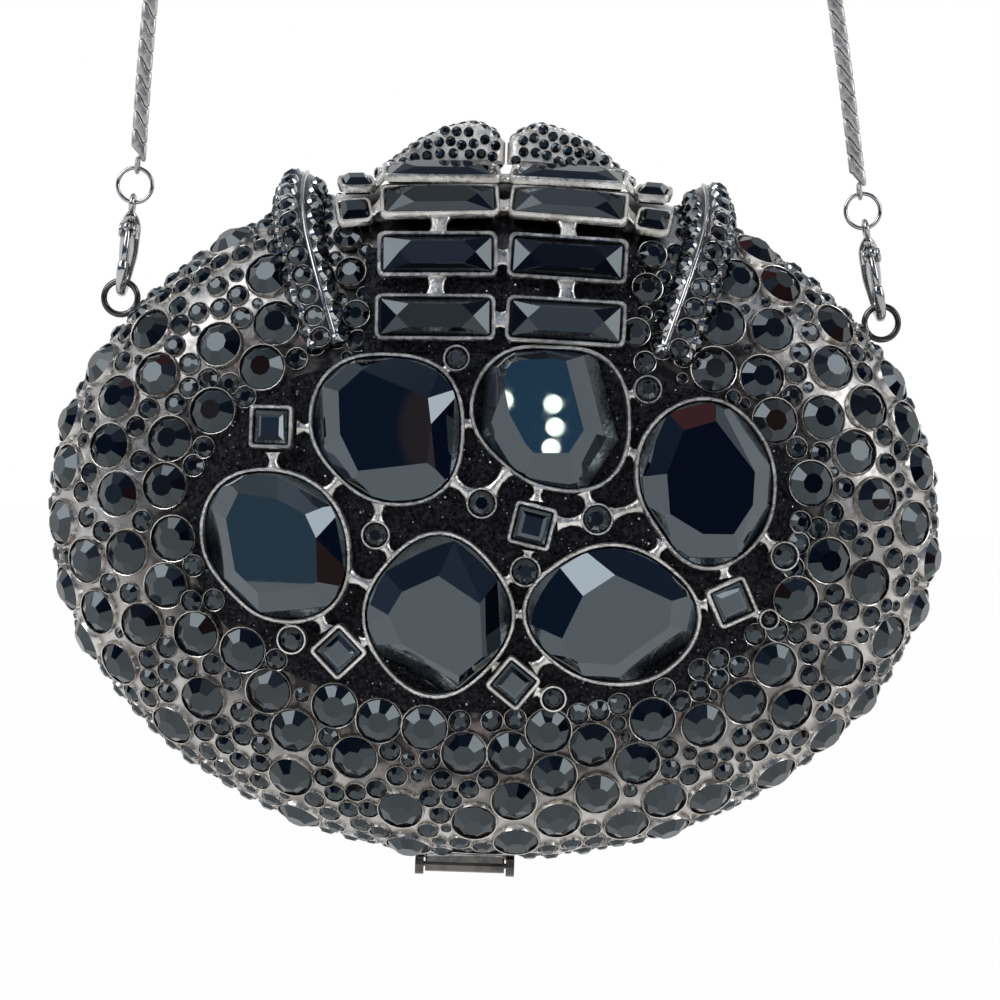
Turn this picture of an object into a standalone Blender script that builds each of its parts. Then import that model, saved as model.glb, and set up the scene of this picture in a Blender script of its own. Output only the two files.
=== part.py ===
"""Oval hard-shell evening bag: two domed metal halves, a jewelled front and a chain strap.

The bag hangs upright from its strap. Sizes are in millimetres, +Z is up and the front faces -Y.
Positions are given from the middle of the bag; the scene's origin is the top of the strap.
"""

import math

import bmesh
import bpy
import numpy as np
from mathutils import Matrix, Vector
from mathutils.geometry import delaunay_2d_cdt

MM = 0.001

# Shells
HALF_WIDTH = 83.4
HALF_HEIGHT = 64.4
FRONT_DEPTH = 24.0
BACK_DEPTH = 23.0
DOME_POWER = 3.5
WALL = 1.2
SEAM = 0.4
CLEAR = 0.3

# The front's pattern is drawn for a bag of these half sizes, and stretches with the shells
STRETCH_X = HALF_WIDTH / 83.4
STRETCH_Z = HALF_HEIGHT / 64.4
STRETCH_LEAST = min(STRETCH_X, STRETCH_Z)

# Frame bands and linings
RIM_WIDTH = 2.4
RIM_DEPTH = 3.4
LINING_THICK = 0.9

# Hinge at the bottom
EAR_RADIUS = 2.0
EAR_THICK = 1.6
KNUCKLE_RADIUS = 1.4
KNUCKLE_LENGTH = 15.0
HINGE_SHIFT = -3.4
PIN_RADIUS = 0.5
PIN_PLAY = 0.25
LEAF_THICK = 1.0
LEAF_REACH = 5.0

# Kiss lock: two half-moon tabs, the right one on the front half and the left one on the back half
TAB_THICK = 6.0
TAB_INSET = 0.86
TAB_LIFT = 2.2
TAB_LENGTH = 24.8
TAB_PEAK = 7.4
TAB_PEAK_HEIGHT = 9.6
TAB_NOTCH_HEIGHT = 4.0
TAB_FOOT = 6.0
TAB_FOOT_THICK = 2.0

# Side loops
LOOP_ANGLE = 34.0
LOOP_STANDOFF = 4.4
LOOP_RADIUS = 3.2
LOOP_WIRE = 0.6
LOOP_BACK = 1.4

# Claws and jump rings
CLAW_LENGTH = 15.1
HOOK_DROP = 1.1
HOOK_THICK = 0.95
GATE_PIVOT = (1.3, 9.6)
GATE_THICK = 0.6
GATE_WIDTH = 1.4
CHEEK_GAP = 0.3
CHEEK_THICK = 0.7
CHEEK_RADIUS = 1.4
RIVET_RADIUS = 0.35
RIVET_PLAY = 0.2
EYE_HOLE = 1.0
EYE_WIRE = 0.55
JUMP_RADIUS = 3.3
JUMP_WIRE = 0.4
LEAN = {"left": 5.3, "right": 11.3}

# Chain strap: points that it runs through, chosen on the photograph and above its top edge
CHAIN_WIDTH = 2.6
CHAIN_STEP = 7.5
STRAP_TOP = 178.0
STRAP_ROUTE = [
    (-68.9, 92.0),
    (-66.4, 122.0),
    (-59.0, 148.0),
    (-40.0, 168.0),
    (0.0, STRAP_TOP),
    (27.0, 172.0),
    (45.5, 155.0),
    (55.8, 128.0),
    (62.3, 96.0),
]

# Glitter panel between the stones
PANEL_GAP = 0.5
PANEL_THICK = 0.6
PANEL_HALF_WIDTH = 56.0 * STRETCH_X
PANEL_POWER = 2.4
PANEL_DROP = 36.0 * STRETCH_Z
PANEL_SHOULDER = 29.0 * STRETCH_Z
PANEL_NECK = 25.0 * STRETCH_X
PANEL_TOP = 48.0 * STRETCH_Z

# Settings: wall of a bezel and heights above the shell
BEZEL_WALL = 0.8
BEZEL_FOOT = PANEL_GAP + PANEL_THICK + CLEAR
BEZEL_HEIGHT = 2.6
BRIDGE_WIDTH = 1.3
BRIDGE_HEIGHT = 1.2
STONE_PLAY = 0.25
STONE_CROWN = 3.2
BUTTON_HEIGHT = 3.4

# Large stones: place of the middle and the outline's reach at every eighth of a turn from +X
LARGE_STONES = {
    "stone_upper_left": ((-19.9, 14.8), (14.2, 15.2, 14.0, 15.2, 14.2, 12.7, 13.8, 15.4)),
    "stone_upper_middle": ((9.6, 18.1), (14.7, 14.9, 12.9, 14.9, 14.7, 12.5, 13.4, 16.0)),
    "stone_right": ((38.1, 6.7), (12.9, 13.8, 16.0, 15.0, 13.1, 12.5, 15.6, 14.2)),
    "stone_left": ((-39.2, -6.7), (13.8, 13.6, 14.0, 15.4, 13.8, 12.2, 14.0, 15.6)),
    "stone_lower_left": ((-9.6, -18.4), (14.2, 13.8, 15.4, 13.6, 13.8, 13.8, 15.2, 13.6)),
    "stone_lower_right": ((22.0, -17.0), (16.2, 13.4, 12.9, 13.6, 16.5, 14.0, 13.2, 14.7)),
}

# Square stones in the lattice: middle, side and turn in degrees
SQUARE_STONES = {
    "square_upper_left": ((-40.7, 14.5), 8.0, 0.0),
    "square_middle": ((7.0, -1.7), 8.0, -12.0),
    "square_lower_left": ((-27.2, -25.4), 7.8, 45.0),
    "square_lower_middle": ((4.5, -30.0), 7.6, -38.0),
    "square_right": ((43.4, -14.2), 7.8, 25.0),
}

# Round stones in the lattice: middle and radius
ROUND_STONES = {
    "round_a": ((-2.3, 2.1), 2.9),
    "round_b": ((-21.3, -4.3), 2.7),
    "round_c": ((18.7, -0.1), 3.0),
    "round_d": ((6.0, -10.0), 2.9),
    "round_e": ((-35.8, -23.5), 2.8),
    "round_f": ((52.6, -5.6), 2.8),
    "round_g": ((50.2, -17.0), 2.0),
    "round_h": ((11.8, -32.6), 2.5),
    "round_i": ((27.0, 23.5), 2.7),
    "round_j": ((-7.7, 28.0), 2.5),
}

# Metal bridges of the lattice
BRIDGES = [
    ("stone_upper_left", "stone_upper_middle"),
    ("stone_upper_middle", "stone_right"),
    ("stone_upper_left", "stone_left"),
    ("stone_left", "stone_lower_left"),
    ("stone_lower_left", "stone_lower_right"),
    ("stone_lower_right", "stone_right"),
    ("square_upper_left", "stone_upper_left"),
    ("square_upper_left", "stone_left"),
    ("square_middle", "stone_upper_middle"),
    ("square_middle", "round_c"),
    ("square_middle", "round_d"),
    ("square_lower_left", "stone_left"),
    ("square_lower_left", "stone_lower_left"),
    ("square_lower_middle", "stone_lower_left"),
    ("square_lower_middle", "stone_lower_right"),
    ("square_right", "stone_right"),
    ("square_right", "stone_lower_right"),
    ("round_a", "stone_upper_left"),
    ("round_a", "stone_upper_middle"),
    ("round_b", "stone_upper_left"),
    ("round_b", "stone_lower_left"),
    ("round_c", "stone_upper_middle"),
    ("round_c", "stone_right"),
    ("round_d", "stone_lower_left"),
    ("round_e", "stone_left"),
    ("round_f", "stone_right"),
    ("round_g", "square_right"),
    ("round_h", "square_lower_middle"),
    ("round_i", "stone_upper_middle"),
    ("round_j", "stone_upper_left"),
]

# Baguettes: bezel size, gaps between columns, and each row's share of the half height,
# standoff from the dome there, tilt up from facing forward, and droop of the outer ends
BAGUETTE_WIDTH = 22.0 * STRETCH_X
BAGUETTE_HEIGHT = 8.6 * STRETCH_Z
BAGUETTE_GAP = 1.8 * STRETCH_X
BAGUETTE_COLUMN = BAGUETTE_WIDTH / 2 + BAGUETTE_GAP / 2
BAGUETTE_ROWS = {
    "low": (0.551, 1.4, 6.0, 1.5),
    "middle": (0.728, 2.2, 12.0, 2.0),
    "high": (0.876, 1.6, 44.0, 4.0),
    "top": (0.961, 2.4, 68.0, 4.5),
}
FLANK_SIDE = 6.8 * STRETCH_LEAST
FLANK_GAP = 1.4
FLANK_COLUMN = BAGUETTE_COLUMN + BAGUETTE_WIDTH / 2 + FLANK_GAP + FLANK_SIDE / 2
FLANK_ROWS = {"high": (0.836, -1.15, 46.0, 10.0), "top": (0.922, -2.25, 67.0, 10.0)}
FRAME_DEPTH = 2.4
FRAME_CROWN = 2.0
TAB_SIZE = 4.0

# Ridges over the shoulders, from the seam down the front
RIDGE_TOP = (37.4 * STRETCH_X, 8.0 * STRETCH_Z)
RIDGE_END = (31.5 * STRETCH_X, 30.0 * STRETCH_Z)
RIDGE_WIDTH_TOP = 8.8
RIDGE_WIDTH_END = 7.6
RIDGE_RISE_TOP = 6.2
RIDGE_RISE_END = 2.2

# Round stones set in the shells: radius of the outline and of the table, and the table's height
STUD_RADIUS = 3.9 * STRETCH_LEAST
STUD_TABLE = 2.1 * STRETCH_LEAST
STUD_RISE = 2.1

# Main round stones of the front, and rings of them on the back as shares of its reach
FRONT_STUDS = [
    (-65.0, 32.0), (-63.0, 24.0), (-70.5, 19.5), (-51.5, 29.5), (-41.0, 33.5),
    (-71.5, 10.5), (-60.0, 12.0), (-69.5, 1.5), (-67.5, -9.0), (-59.5, -15.0), (-80.0, 6.5),
    (-80.5, -4.0), (-73.0, -20.5), (-64.0, -22.5), (-53.5, -23.5), (-68.5, -30.0), (-52.5, -35.5),
    (-40.0, -33.5), (-58.5, -41.0), (-35.5, -40.5), (-24.0, -45.0), (-4.0, -43.5), (-36.0, -49.5),
    (-15.5, -55.0), (4.5, -43.5), (19.5, -41.5), (12.5, -47.0), (28.0, -44.5), (20.5, -50.5),
    (5.5, -52.5), (-2.0, -56.5), (13.5, -56.0), (26.5, -56.5), (6.0, -60.5), (39.5, -37.0),
    (47.0, -32.5), (52.5, -25.5), (56.0, -34.0), (65.5, -25.5), (33.5, -51.5), (42.0, -51.0),
    (54.0, -46.5), (63.5, -39.0), (66.0, 14.0), (70.5, 5.0), (61.0, -6.5), (69.5, -10.0),
    (78.0, 1.0), (74.0, -20.0), (79.0, 11.0), (76.0, 19.5), (51.5, 44.5), (50.0, 35.5),
    (48.0, 27.0), (61.5, 29.0), (60.0, 20.0), (62.0, 37.5), (73.5, 27.5),
]
BACK_STUD_RINGS = (0.0, 0.185, 0.37, 0.54, 0.695, 0.83, 0.94)
STUD_ROOM = 2.2

# Points in each ring of a dome, from its edge to its middle
SHELL_RINGS = (48, 48, 48, 48, 36, 24, 16, 8, 1)
LINING_RINGS = (32, 24, 16, 8, 1)
PANEL_RINGS = (40, 32, 24, 16, 8, 1)

SIDES = {"left": -1, "right": 1}
FRONT = -1
BACK = 1
DEPTHS = {FRONT: FRONT_DEPTH, BACK: BACK_DEPTH}
AXIS_Z = -(HALF_HEIGHT + EAR_RADIUS + CLEAR)

METALS = {
    "gunmetal": ((0.30, 0.29, 0.28), 0.25, 1.0),
    "dark_gunmetal": ((0.10, 0.10, 0.11), 0.30, 1.0),
    "chain_metal": ((0.35, 0.35, 0.35), 0.30, 1.0),
    "black_crystal": ((0.010, 0.011, 0.014), 0.04, 0.0),
    "black_glitter": ((0.008, 0.008, 0.010), 0.55, 0.0),
    "black_satin": ((0.012, 0.012, 0.013), 0.60, 0.0),
}


def clear_scene():
    for obj in list(bpy.data.objects):
        bpy.data.objects.remove(obj, do_unlink=True)


def material(name):
    """A plain material from the list of finishes, made once."""
    found = bpy.data.materials.get(name)
    if found:
        return found
    colour, roughness, metallic = METALS[name]
    made = bpy.data.materials.new(name)
    made.use_nodes = True
    shader = made.node_tree.nodes["Principled BSDF"]
    shader.inputs["Base Color"].default_value = (*colour, 1.0)
    shader.inputs["Roughness"].default_value = roughness
    shader.inputs["Metallic"].default_value = metallic
    return made


def to_world(points):
    """Millimetres from the middle of the bag to metres from the top of the strap."""
    moved = np.asarray(points, dtype=float) - np.array((0.0, LOOP_BACK, STRAP_TOP))
    return moved * MM


def face_outward(mesh):
    """Turns the faces of a closed mesh outward."""
    shape = bmesh.new()
    shape.from_mesh(mesh)
    bmesh.ops.recalc_face_normals(shape, faces=shape.faces)
    if shape.calc_volume(signed=True) < 0:
        bmesh.ops.reverse_faces(shape, faces=shape.faces)
    shape.to_mesh(mesh)
    shape.free()


def mesh_object(name, points, faces, finish, collection=None):
    mesh = bpy.data.meshes.new(name)
    mesh.from_pydata([tuple(p) for p in to_world(points)], [], faces)
    face_outward(mesh)
    mesh.materials.append(material(finish))
    obj = bpy.data.objects.new(name, mesh)
    (collection or bpy.context.scene.collection).objects.link(obj)
    return obj


def helper_collection(name):
    made = bpy.data.collections.new(name)
    bpy.context.scene.collection.children.link(made)
    return made


def hide_helper(obj):
    obj.hide_render = True
    obj.display_type = "WIRE"


def combine(obj, helpers, operation):
    """Joins or cuts a whole collection of helpers with one exact Boolean."""
    for helper in helpers.objects:
        hide_helper(helper)
    modifier = obj.modifiers.new(operation.lower(), "BOOLEAN")
    modifier.operand_type = "COLLECTION"
    modifier.collection = helpers
    modifier.operation = operation
    modifier.solver = "EXACT"


def rings_to_faces(rings, around, capped=True):
    """Quads between rings of points, the rings given from first to last with their outsides outward."""
    faces = []
    for k in range(rings - 1):
        for j in range(around):
            a = k * around + j
            b = k * around + (j + 1) % around
            faces.append((a, b, b + around, a + around))
    if capped:
        faces.append(tuple(range(around - 1, -1, -1)))
        last = (rings - 1) * around
        faces.append(tuple(range(last, last + around)))
    return faces


def ring_body(name, sections, finish, collection=None):
    """A closed loop of sections, such as a torus or a frame band. Each section has the same number of points."""
    count, size = len(sections), len(sections[0])
    points = [p for section in sections for p in section]
    faces = []
    for i in range(count):
        for j in range(size):
            a = i * size + j
            b = i * size + (j + 1) % size
            c = ((i + 1) % count) * size + (j + 1) % size
            d = ((i + 1) % count) * size + j
            faces.append((a, b, c, d))
    return mesh_object(name, points, faces, finish, collection)


def smooth_through(points, steps, closed=False):
    """Points of a Catmull-Rom curve through the given ones."""
    points = [np.asarray(p, dtype=float) for p in points]
    count = len(points)
    made = []
    for i in range(count if closed else count - 1):
        if closed:
            p0, p1, p2, p3 = (points[(i + k) % count] for k in (-1, 0, 1, 2))
        else:
            p1, p2 = points[i], points[i + 1]
            p0 = points[i - 1] if i else 2 * p1 - p2
            p3 = points[i + 2] if i + 2 < count else 2 * p2 - p1
        for s in range(steps):
            t = s / steps
            made.append(
                0.5
                * (
                    2 * p1
                    + (p2 - p0) * t
                    + (2 * p0 - 5 * p1 + 4 * p2 - p3) * t**2
                    + (3 * p1 - p0 - 3 * p2 + p3) * t**3
                )
            )
    if not closed:
        made.append(points[-1])
    return np.array(made)


# The dome: (radius in the oval)^power + (depth)^2 = 1


def dome_point(half_width, half_height, depth, side, tau, phi):
    reach = math.sin(tau) ** (2 / DOME_POWER)
    return (
        half_width * reach * math.cos(phi),
        side * (SEAM / 2 + depth * math.cos(tau)),
        half_height * reach * math.sin(phi),
    )


def dome_value(point, side):
    """How far outside a shell a point lies, and the direction that leads out."""
    x, y, z = point
    depth = DEPTHS[side]
    reach = math.hypot(x / HALF_WIDTH, z / HALF_HEIGHT)
    deep = (y - side * SEAM / 2) / depth
    pull = DOME_POWER * max(reach, 1e-6) ** (DOME_POWER - 2)
    slope = np.array((pull * x / HALF_WIDTH**2, 2 * deep / depth, pull * z / HALF_HEIGHT**2))
    return reach**DOME_POWER + deep**2 - 1, slope


def onto_dome(point, lift=0.0, side=FRONT):
    """The point pulled onto a shell along its normal, then lifted off it."""
    place = np.asarray(point, dtype=float)
    for _ in range(12):
        value, slope = dome_value(place, side)
        place = place - value * slope / slope.dot(slope)
    slope = dome_value(place, side)[1]
    normal = slope / np.linalg.norm(slope)
    return place + normal * lift, normal


def dome_at(x, z, side=FRONT):
    """Point of a shell in front of or behind this place in the oval."""
    reach = min(math.hypot(x / HALF_WIDTH, z / HALF_HEIGHT), 1.0)
    return np.array((x, side * (SEAM / 2 + DEPTHS[side] * math.sqrt(1 - reach**DOME_POWER)), z))


def seat_on_dome(x, z, turn=0.0, side=FRONT):
    """Axes of a stone on a shell: right, up, out and origin."""
    origin, out = onto_dome(dome_at(x, z, side), 0.0, side)
    right = np.array((1.0, 0.0, 0.0)) - out[0] * out
    right /= np.linalg.norm(right)
    up = np.cross(out, right)
    c, s = math.cos(math.radians(turn)), math.sin(math.radians(turn))
    return c * right + s * up, c * up - s * right, out, origin


def tilted_seat(x, share, standoff, tilt, droop):
    """Axes of a stone that stands free of the dome, tilted up from facing forward."""
    lean = math.radians(tilt)
    out = np.array((0.0, -math.cos(lean), math.sin(lean)))
    level = np.array((0.0, math.sin(lean), math.cos(lean)))
    right = np.array((1.0, 0.0, 0.0))
    c, s = math.cos(math.radians(droop)), math.sin(math.radians(droop)) * math.copysign(1.0, x)
    height = share * HALF_HEIGHT
    place = np.array((x, dome_at(0.0, height)[1] - standoff, height))
    return c * right - s * level, c * level + s * right, out, place


def placed(seat, flat, lift):
    """Points of a flat outline at a height above its seat."""
    right, up, out, origin = seat
    return [origin + u * right + v * up + lift * out for u, v in flat]


# Shells, bands and linings


def flattened(point, sizes, side):
    """A dome's point laid out flat, as far from the middle as the way over the dome is long."""
    half_width, half_height, depth = sizes
    across, upward = point[0] / half_width, point[2] / half_height
    reach = max(math.hypot(across, upward), 1e-9)
    length = (half_width + half_height) / 2 * reach + depth + SEAM / 2 - side * point[1]
    return length * across / reach, length * upward / reach


def dome_rings(sizes, side, end, counts):
    """Points of a dome in rings, from its edge to the middle."""
    points = []
    for k, count in enumerate(counts):
        tau = end * (1 - k / (len(counts) - 1))
        points += [dome_point(*sizes, side, tau, 2 * math.pi * j / count) for j in range(count)]
    return points


def triangles_over(flat, edges=()):
    """Delaunay triangles over flat points that keep the given edges."""
    made = delaunay_2d_cdt([Vector(p) for p in flat], list(edges), [], 0, 1e-6)
    source = [found[0] for found in made[3]]
    return [tuple(source[i] for i in face) for face in made[2]]


def closed_sheet(name, skins, around, finish):
    """A wall between two skins of (points, flat points, edges), each starting with its edge."""
    points, faces = [], []
    for skin, flat, edges in skins:
        start = len(points)
        faces += [tuple(start + i for i in face) for face in triangles_over(flat, edges)]
        points += skin
    for j in range(around):
        n = (j + 1) % around
        faces.append((j, n, start + n, start + j))
    return mesh_object(name, points, faces, finish)


def plain_skin(sizes, side, end, counts):
    points = dome_rings(sizes, side, end, counts)
    return points, [flattened(p, sizes, side) for p in points], []


def studded_skin(sizes, side, counts, studs):
    """Outside of a shell: round stones with a six-sided outline and a table, and the metal between."""
    seats = []
    for x, z in studs:
        seat = seat_on_dome(x, z, 0.0, side)
        if all(np.linalg.norm(seat[3] - other[3]) > 2 * STUD_RADIUS for other in seats):
            seats.append(seat)
    middles = np.array([seat[3] for seat in seats])
    points = []
    for i, place in enumerate(dome_rings(sizes, side, math.pi / 2, counts)):
        near = np.linalg.norm(middles - place, axis=1).min()
        if i < counts[0] or near > STUD_ROOM * STUD_RADIUS:
            points.append(place)
    flat = [flattened(p, sizes, side) for p in points]
    edges = []
    for right, up, out, origin in seats:
        first = len(points)
        for radius, corners, rise in ((STUD_RADIUS, 6, 0.0), (STUD_TABLE, 3, STUD_RISE)):
            for u, v in circle(0.0, 0.0, radius, corners):
                corner = origin + u * right + v * up
                foot = onto_dome(corner, 0.0, side)[0]
                points.append(corner + out * rise if rise else foot)
                flat.append(flattened(foot, sizes, side))
        edges += [(first + i, first + (i + 1) % 6) for i in range(6)]
    return points, flat, edges


def front_studs():
    return stretched(FRONT_STUDS)


def back_studs():
    """Places of the back's round stones: one in the middle and six more in each further ring."""
    places = []
    for k, reach in enumerate(BACK_STUD_RINGS):
        count = max(1, 6 * k)
        for j in range(count):
            turn = 2 * math.pi * (j + 0.5 * (k % 2)) / count
            places.append((HALF_WIDTH * reach * math.cos(turn), HALF_HEIGHT * reach * math.sin(turn)))
    return places


def make_shell(name, side, studs):
    """A domed wall, open at the seam, with its main round stones."""
    outer = (HALF_WIDTH, HALF_HEIGHT, DEPTHS[side])
    inner = tuple(size - WALL for size in outer)
    skins = [
        studded_skin(outer, side, SHELL_RINGS, studs),
        plain_skin(inner, side, math.pi / 2, SHELL_RINGS),
    ]
    return closed_sheet(name, skins, SHELL_RINGS[0], "gunmetal")


def make_lining(name, side):
    gap = WALL + CLEAR
    outer = tuple(size - gap for size in (HALF_WIDTH, HALF_HEIGHT, DEPTHS[side]))
    inner = tuple(size - LINING_THICK for size in outer)
    edge = RIM_DEPTH + CLEAR
    skins = [plain_skin(sizes, side, math.acos(edge / sizes[2]), LINING_RINGS) for sizes in (outer, inner)]
    return closed_sheet(name, skins, LINING_RINGS[0], "black_satin")


def make_rim(name, side):
    """Frame band inside the edge of a shell, its outside following the shell."""
    inside = tuple(size - WALL for size in (HALF_WIDTH, HALF_HEIGHT, DEPTHS[side]))
    deep = math.acos(RIM_DEPTH / inside[2])
    shrink = math.sin(deep) ** (2 / DOME_POWER)
    sections = []
    for j in range(SHELL_RINGS[0]):
        turn = 2 * math.pi * j / SHELL_RINGS[0] * side
        cos, sin = math.cos(turn), math.sin(turn)
        section = []
        for reach, inset, back in (
            (1.0, CLEAR, 0.0),
            (1.0, CLEAR + RIM_WIDTH, 0.0),
            (shrink, CLEAR + RIM_WIDTH, RIM_DEPTH),
            (shrink, CLEAR, RIM_DEPTH),
        ):
            x = (inside[0] * reach - inset) * cos
            z = (inside[1] * reach - inset) * sin
            section.append((x, side * (SEAM / 2 + back), z))
        sections.append(section)
    return ring_body(name, sections, "gunmetal")


# Hinge


def disc_points(radius, sides, centre_y, centre_z, x):
    step = 2 * math.pi / sides
    return [
        (x, centre_y + radius * math.cos(i * step), centre_z + radius * math.sin(i * step))
        for i in range(sides)
    ]


def rod_x(name, radius, x0, x1, centre, finish, collection=None, sides=12):
    """A round bar along X."""
    points = disc_points(radius, sides, *centre, x0) + disc_points(radius, sides, *centre, x1)
    faces = rings_to_faces(2, sides)
    return mesh_object(name, points, faces, finish, collection)


def box(name, low, high, finish, collection=None):
    (x0, y0, z0), (x1, y1, z1) = low, high
    points = [(x, y, z) for x in (x0, x1) for y in (y0, y1) for z in (z0, z1)]
    faces = [
        (0, 1, 3, 2),
        (4, 6, 7, 5),
        (0, 4, 5, 1),
        (2, 3, 7, 6),
        (0, 2, 6, 4),
        (1, 5, 7, 3),
    ]
    return mesh_object(name, points, faces, finish, collection)


def make_hinge():
    """Back leaf with two ears, front leaf with the middle knuckle, and the pin through them."""
    axis = (0.0, AXIS_Z)
    inner = KNUCKLE_LENGTH / 2 + CLEAR
    outer = inner + EAR_THICK
    leaf_top = -(HALF_HEIGHT + CLEAR)
    leaf_low = leaf_top - LEAF_THICK

    mid = HINGE_SHIFT
    back = box("back_hinge", (mid - outer, 0.7, leaf_low), (mid + outer, LEAF_REACH, leaf_top), "gunmetal")
    joined = helper_collection("back_hinge_ears")
    for side in (-1, 1):
        ends = sorted((mid + side * inner, mid + side * outer))
        rod_x(f"ear_{side}", EAR_RADIUS, *ends, axis, "gunmetal", joined, 16)
    combine(back, joined, "UNION")
    groove = helper_collection("back_hinge_cuts")
    rod_x("back_groove", KNUCKLE_RADIUS + CLEAR, mid - inner, mid + inner, axis, "gunmetal", groove, 16)
    rod_x("back_bore", PIN_RADIUS + PIN_PLAY, mid - 2 * outer, mid + 2 * outer, axis, "gunmetal", groove, 12)
    combine(back, groove, "DIFFERENCE")

    half = KNUCKLE_LENGTH / 2
    front = rod_x("front_hinge", KNUCKLE_RADIUS, mid - half, mid + half, axis, "gunmetal", None, 14)
    leaf = helper_collection("front_hinge_leaf")
    leaf_ends = (mid - half + 0.4, mid + half - 0.4)
    box("front_leaf", (leaf_ends[0], -LEAF_REACH, leaf_low), (leaf_ends[1], -0.5, leaf_top), "gunmetal", leaf)
    combine(front, leaf, "UNION")
    bore = helper_collection("front_hinge_bore")
    rod_x("front_bore", PIN_RADIUS + PIN_PLAY, mid - outer, mid + outer, axis, "gunmetal", bore, 12)
    combine(front, bore, "DIFFERENCE")
    pin = rod_x("hinge_pin", PIN_RADIUS, mid - outer, mid + outer, axis, "dark_gunmetal")
    return back, front, pin


# Kiss lock


def make_tab(name, side, half):
    """Half-moon tab: a puffed outline over the seam, on a foot that stands on its own half."""
    low = [
        (x, HALF_HEIGHT * math.sqrt(1 - (x / HALF_WIDTH) ** 2) + TAB_LIFT)
        for x in np.linspace(TAB_LENGTH, SEAM / 2, 5)
    ]
    crown = low[-1][1] - TAB_LIFT
    start = low[-1][0]
    high = smooth_through(
        [
            (start, crown + TAB_LIFT + TAB_NOTCH_HEIGHT),
            (TAB_PEAK * 0.4, crown + TAB_PEAK_HEIGHT * 0.9),
            (TAB_PEAK, crown + TAB_PEAK_HEIGHT),
            ((TAB_PEAK + TAB_LENGTH) / 2, crown + TAB_PEAK_HEIGHT * 0.64),
        ],
        3,
    )
    outline = low + [tuple(p) for p in high]
    middle = np.mean(outline, axis=0)
    points = []
    for y, scale in ((-0.5, TAB_INSET), (-0.2, 1.0), (0.2, 1.0), (0.5, TAB_INSET)):
        for x, z in outline:
            flat = middle + (np.array((x, z)) - middle) * scale
            gap_side = max(flat[0], start)
            points.append((side * gap_side, y * TAB_THICK, flat[1]))
    faces = rings_to_faces(4, len(outline))
    if side > 0:
        faces = [f[::-1] for f in faces]
    tab = mesh_object(name, points, faces, "gunmetal")
    foot_x = sorted((side * TAB_PEAK, side * (TAB_PEAK + TAB_FOOT)))
    foot_y = sorted((half * 0.6, half * (0.6 + TAB_FOOT_THICK)))
    low_z = HALF_HEIGHT * math.sqrt(1 - (TAB_PEAK / HALF_WIDTH) ** 2) + CLEAR
    foot = helper_collection(f"{name}_foot")
    box(
        f"{name}_foot",
        (foot_x[0], foot_y[0], low_z),
        (foot_x[1], foot_y[1], low_z + TAB_LIFT + 1.5),
        "gunmetal",
        foot,
    )
    combine(tab, foot, "UNION")
    return tab


# Side loops, claws and jump rings


def loop_centre(side):
    """Middle of a side loop, a step outside the edge of the back shell."""
    turn = math.radians(LOOP_ANGLE)
    edge = np.array((HALF_WIDTH * math.cos(turn), HALF_HEIGHT * math.sin(turn)))
    out = np.array((math.cos(turn) / HALF_WIDTH, math.sin(turn) / HALF_HEIGHT))
    out /= np.linalg.norm(out)
    place = edge + out * LOOP_STANDOFF
    return (
        np.array((side * place[0], LOOP_BACK, place[1])),
        np.array((side * out[0], 0.0, out[1])),
    )


def torus_sections(centre, first, second, third, radius, wire, around, sides):
    """Sections of a wire ring that lies in the plane of first and second, with its axis along third."""
    sections = []
    for i in range(around):
        turn = 2 * math.pi * i / around
        out = math.cos(turn) * first + math.sin(turn) * second
        section = []
        for j in range(sides):
            roll = 2 * math.pi * j / sides
            section.append(centre + out * (radius + wire * math.cos(roll)) + third * wire * math.sin(roll))
        sections.append(section)
    return sections


def make_loop(side_name):
    side = SIDES[side_name]
    centre, out = loop_centre(side)
    along_y = np.array((0.0, 1.0, 0.0))
    right, up = np.array((1.0, 0.0, 0.0)), np.array((0.0, 0.0, 1.0))
    sections = torus_sections(centre, right, up, -along_y, LOOP_RADIUS, LOOP_WIRE, 18, 6)
    loop = ring_body(f"{side_name}_loop", [s[::-1] for s in sections], "dark_gunmetal")
    across = np.array((-out[2], 0.0, out[0]))
    near = LOOP_STANDOFF - CLEAR
    far = LOOP_RADIUS
    points = []
    for reach in (far, near):
        for w, d in ((-1, -1), (1, -1), (1, 1), (-1, 1)):
            points.append(centre - out * reach + across * w * 1.3 + along_y * d * LOOP_WIRE * 0.9)
    lug = helper_collection(f"{side_name}_loop_lug")
    faces = rings_to_faces(2, 4)
    mesh_object(f"{side_name}_lug", points, faces, "dark_gunmetal", lug)
    combine(loop, lug, "UNION")
    return loop


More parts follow.
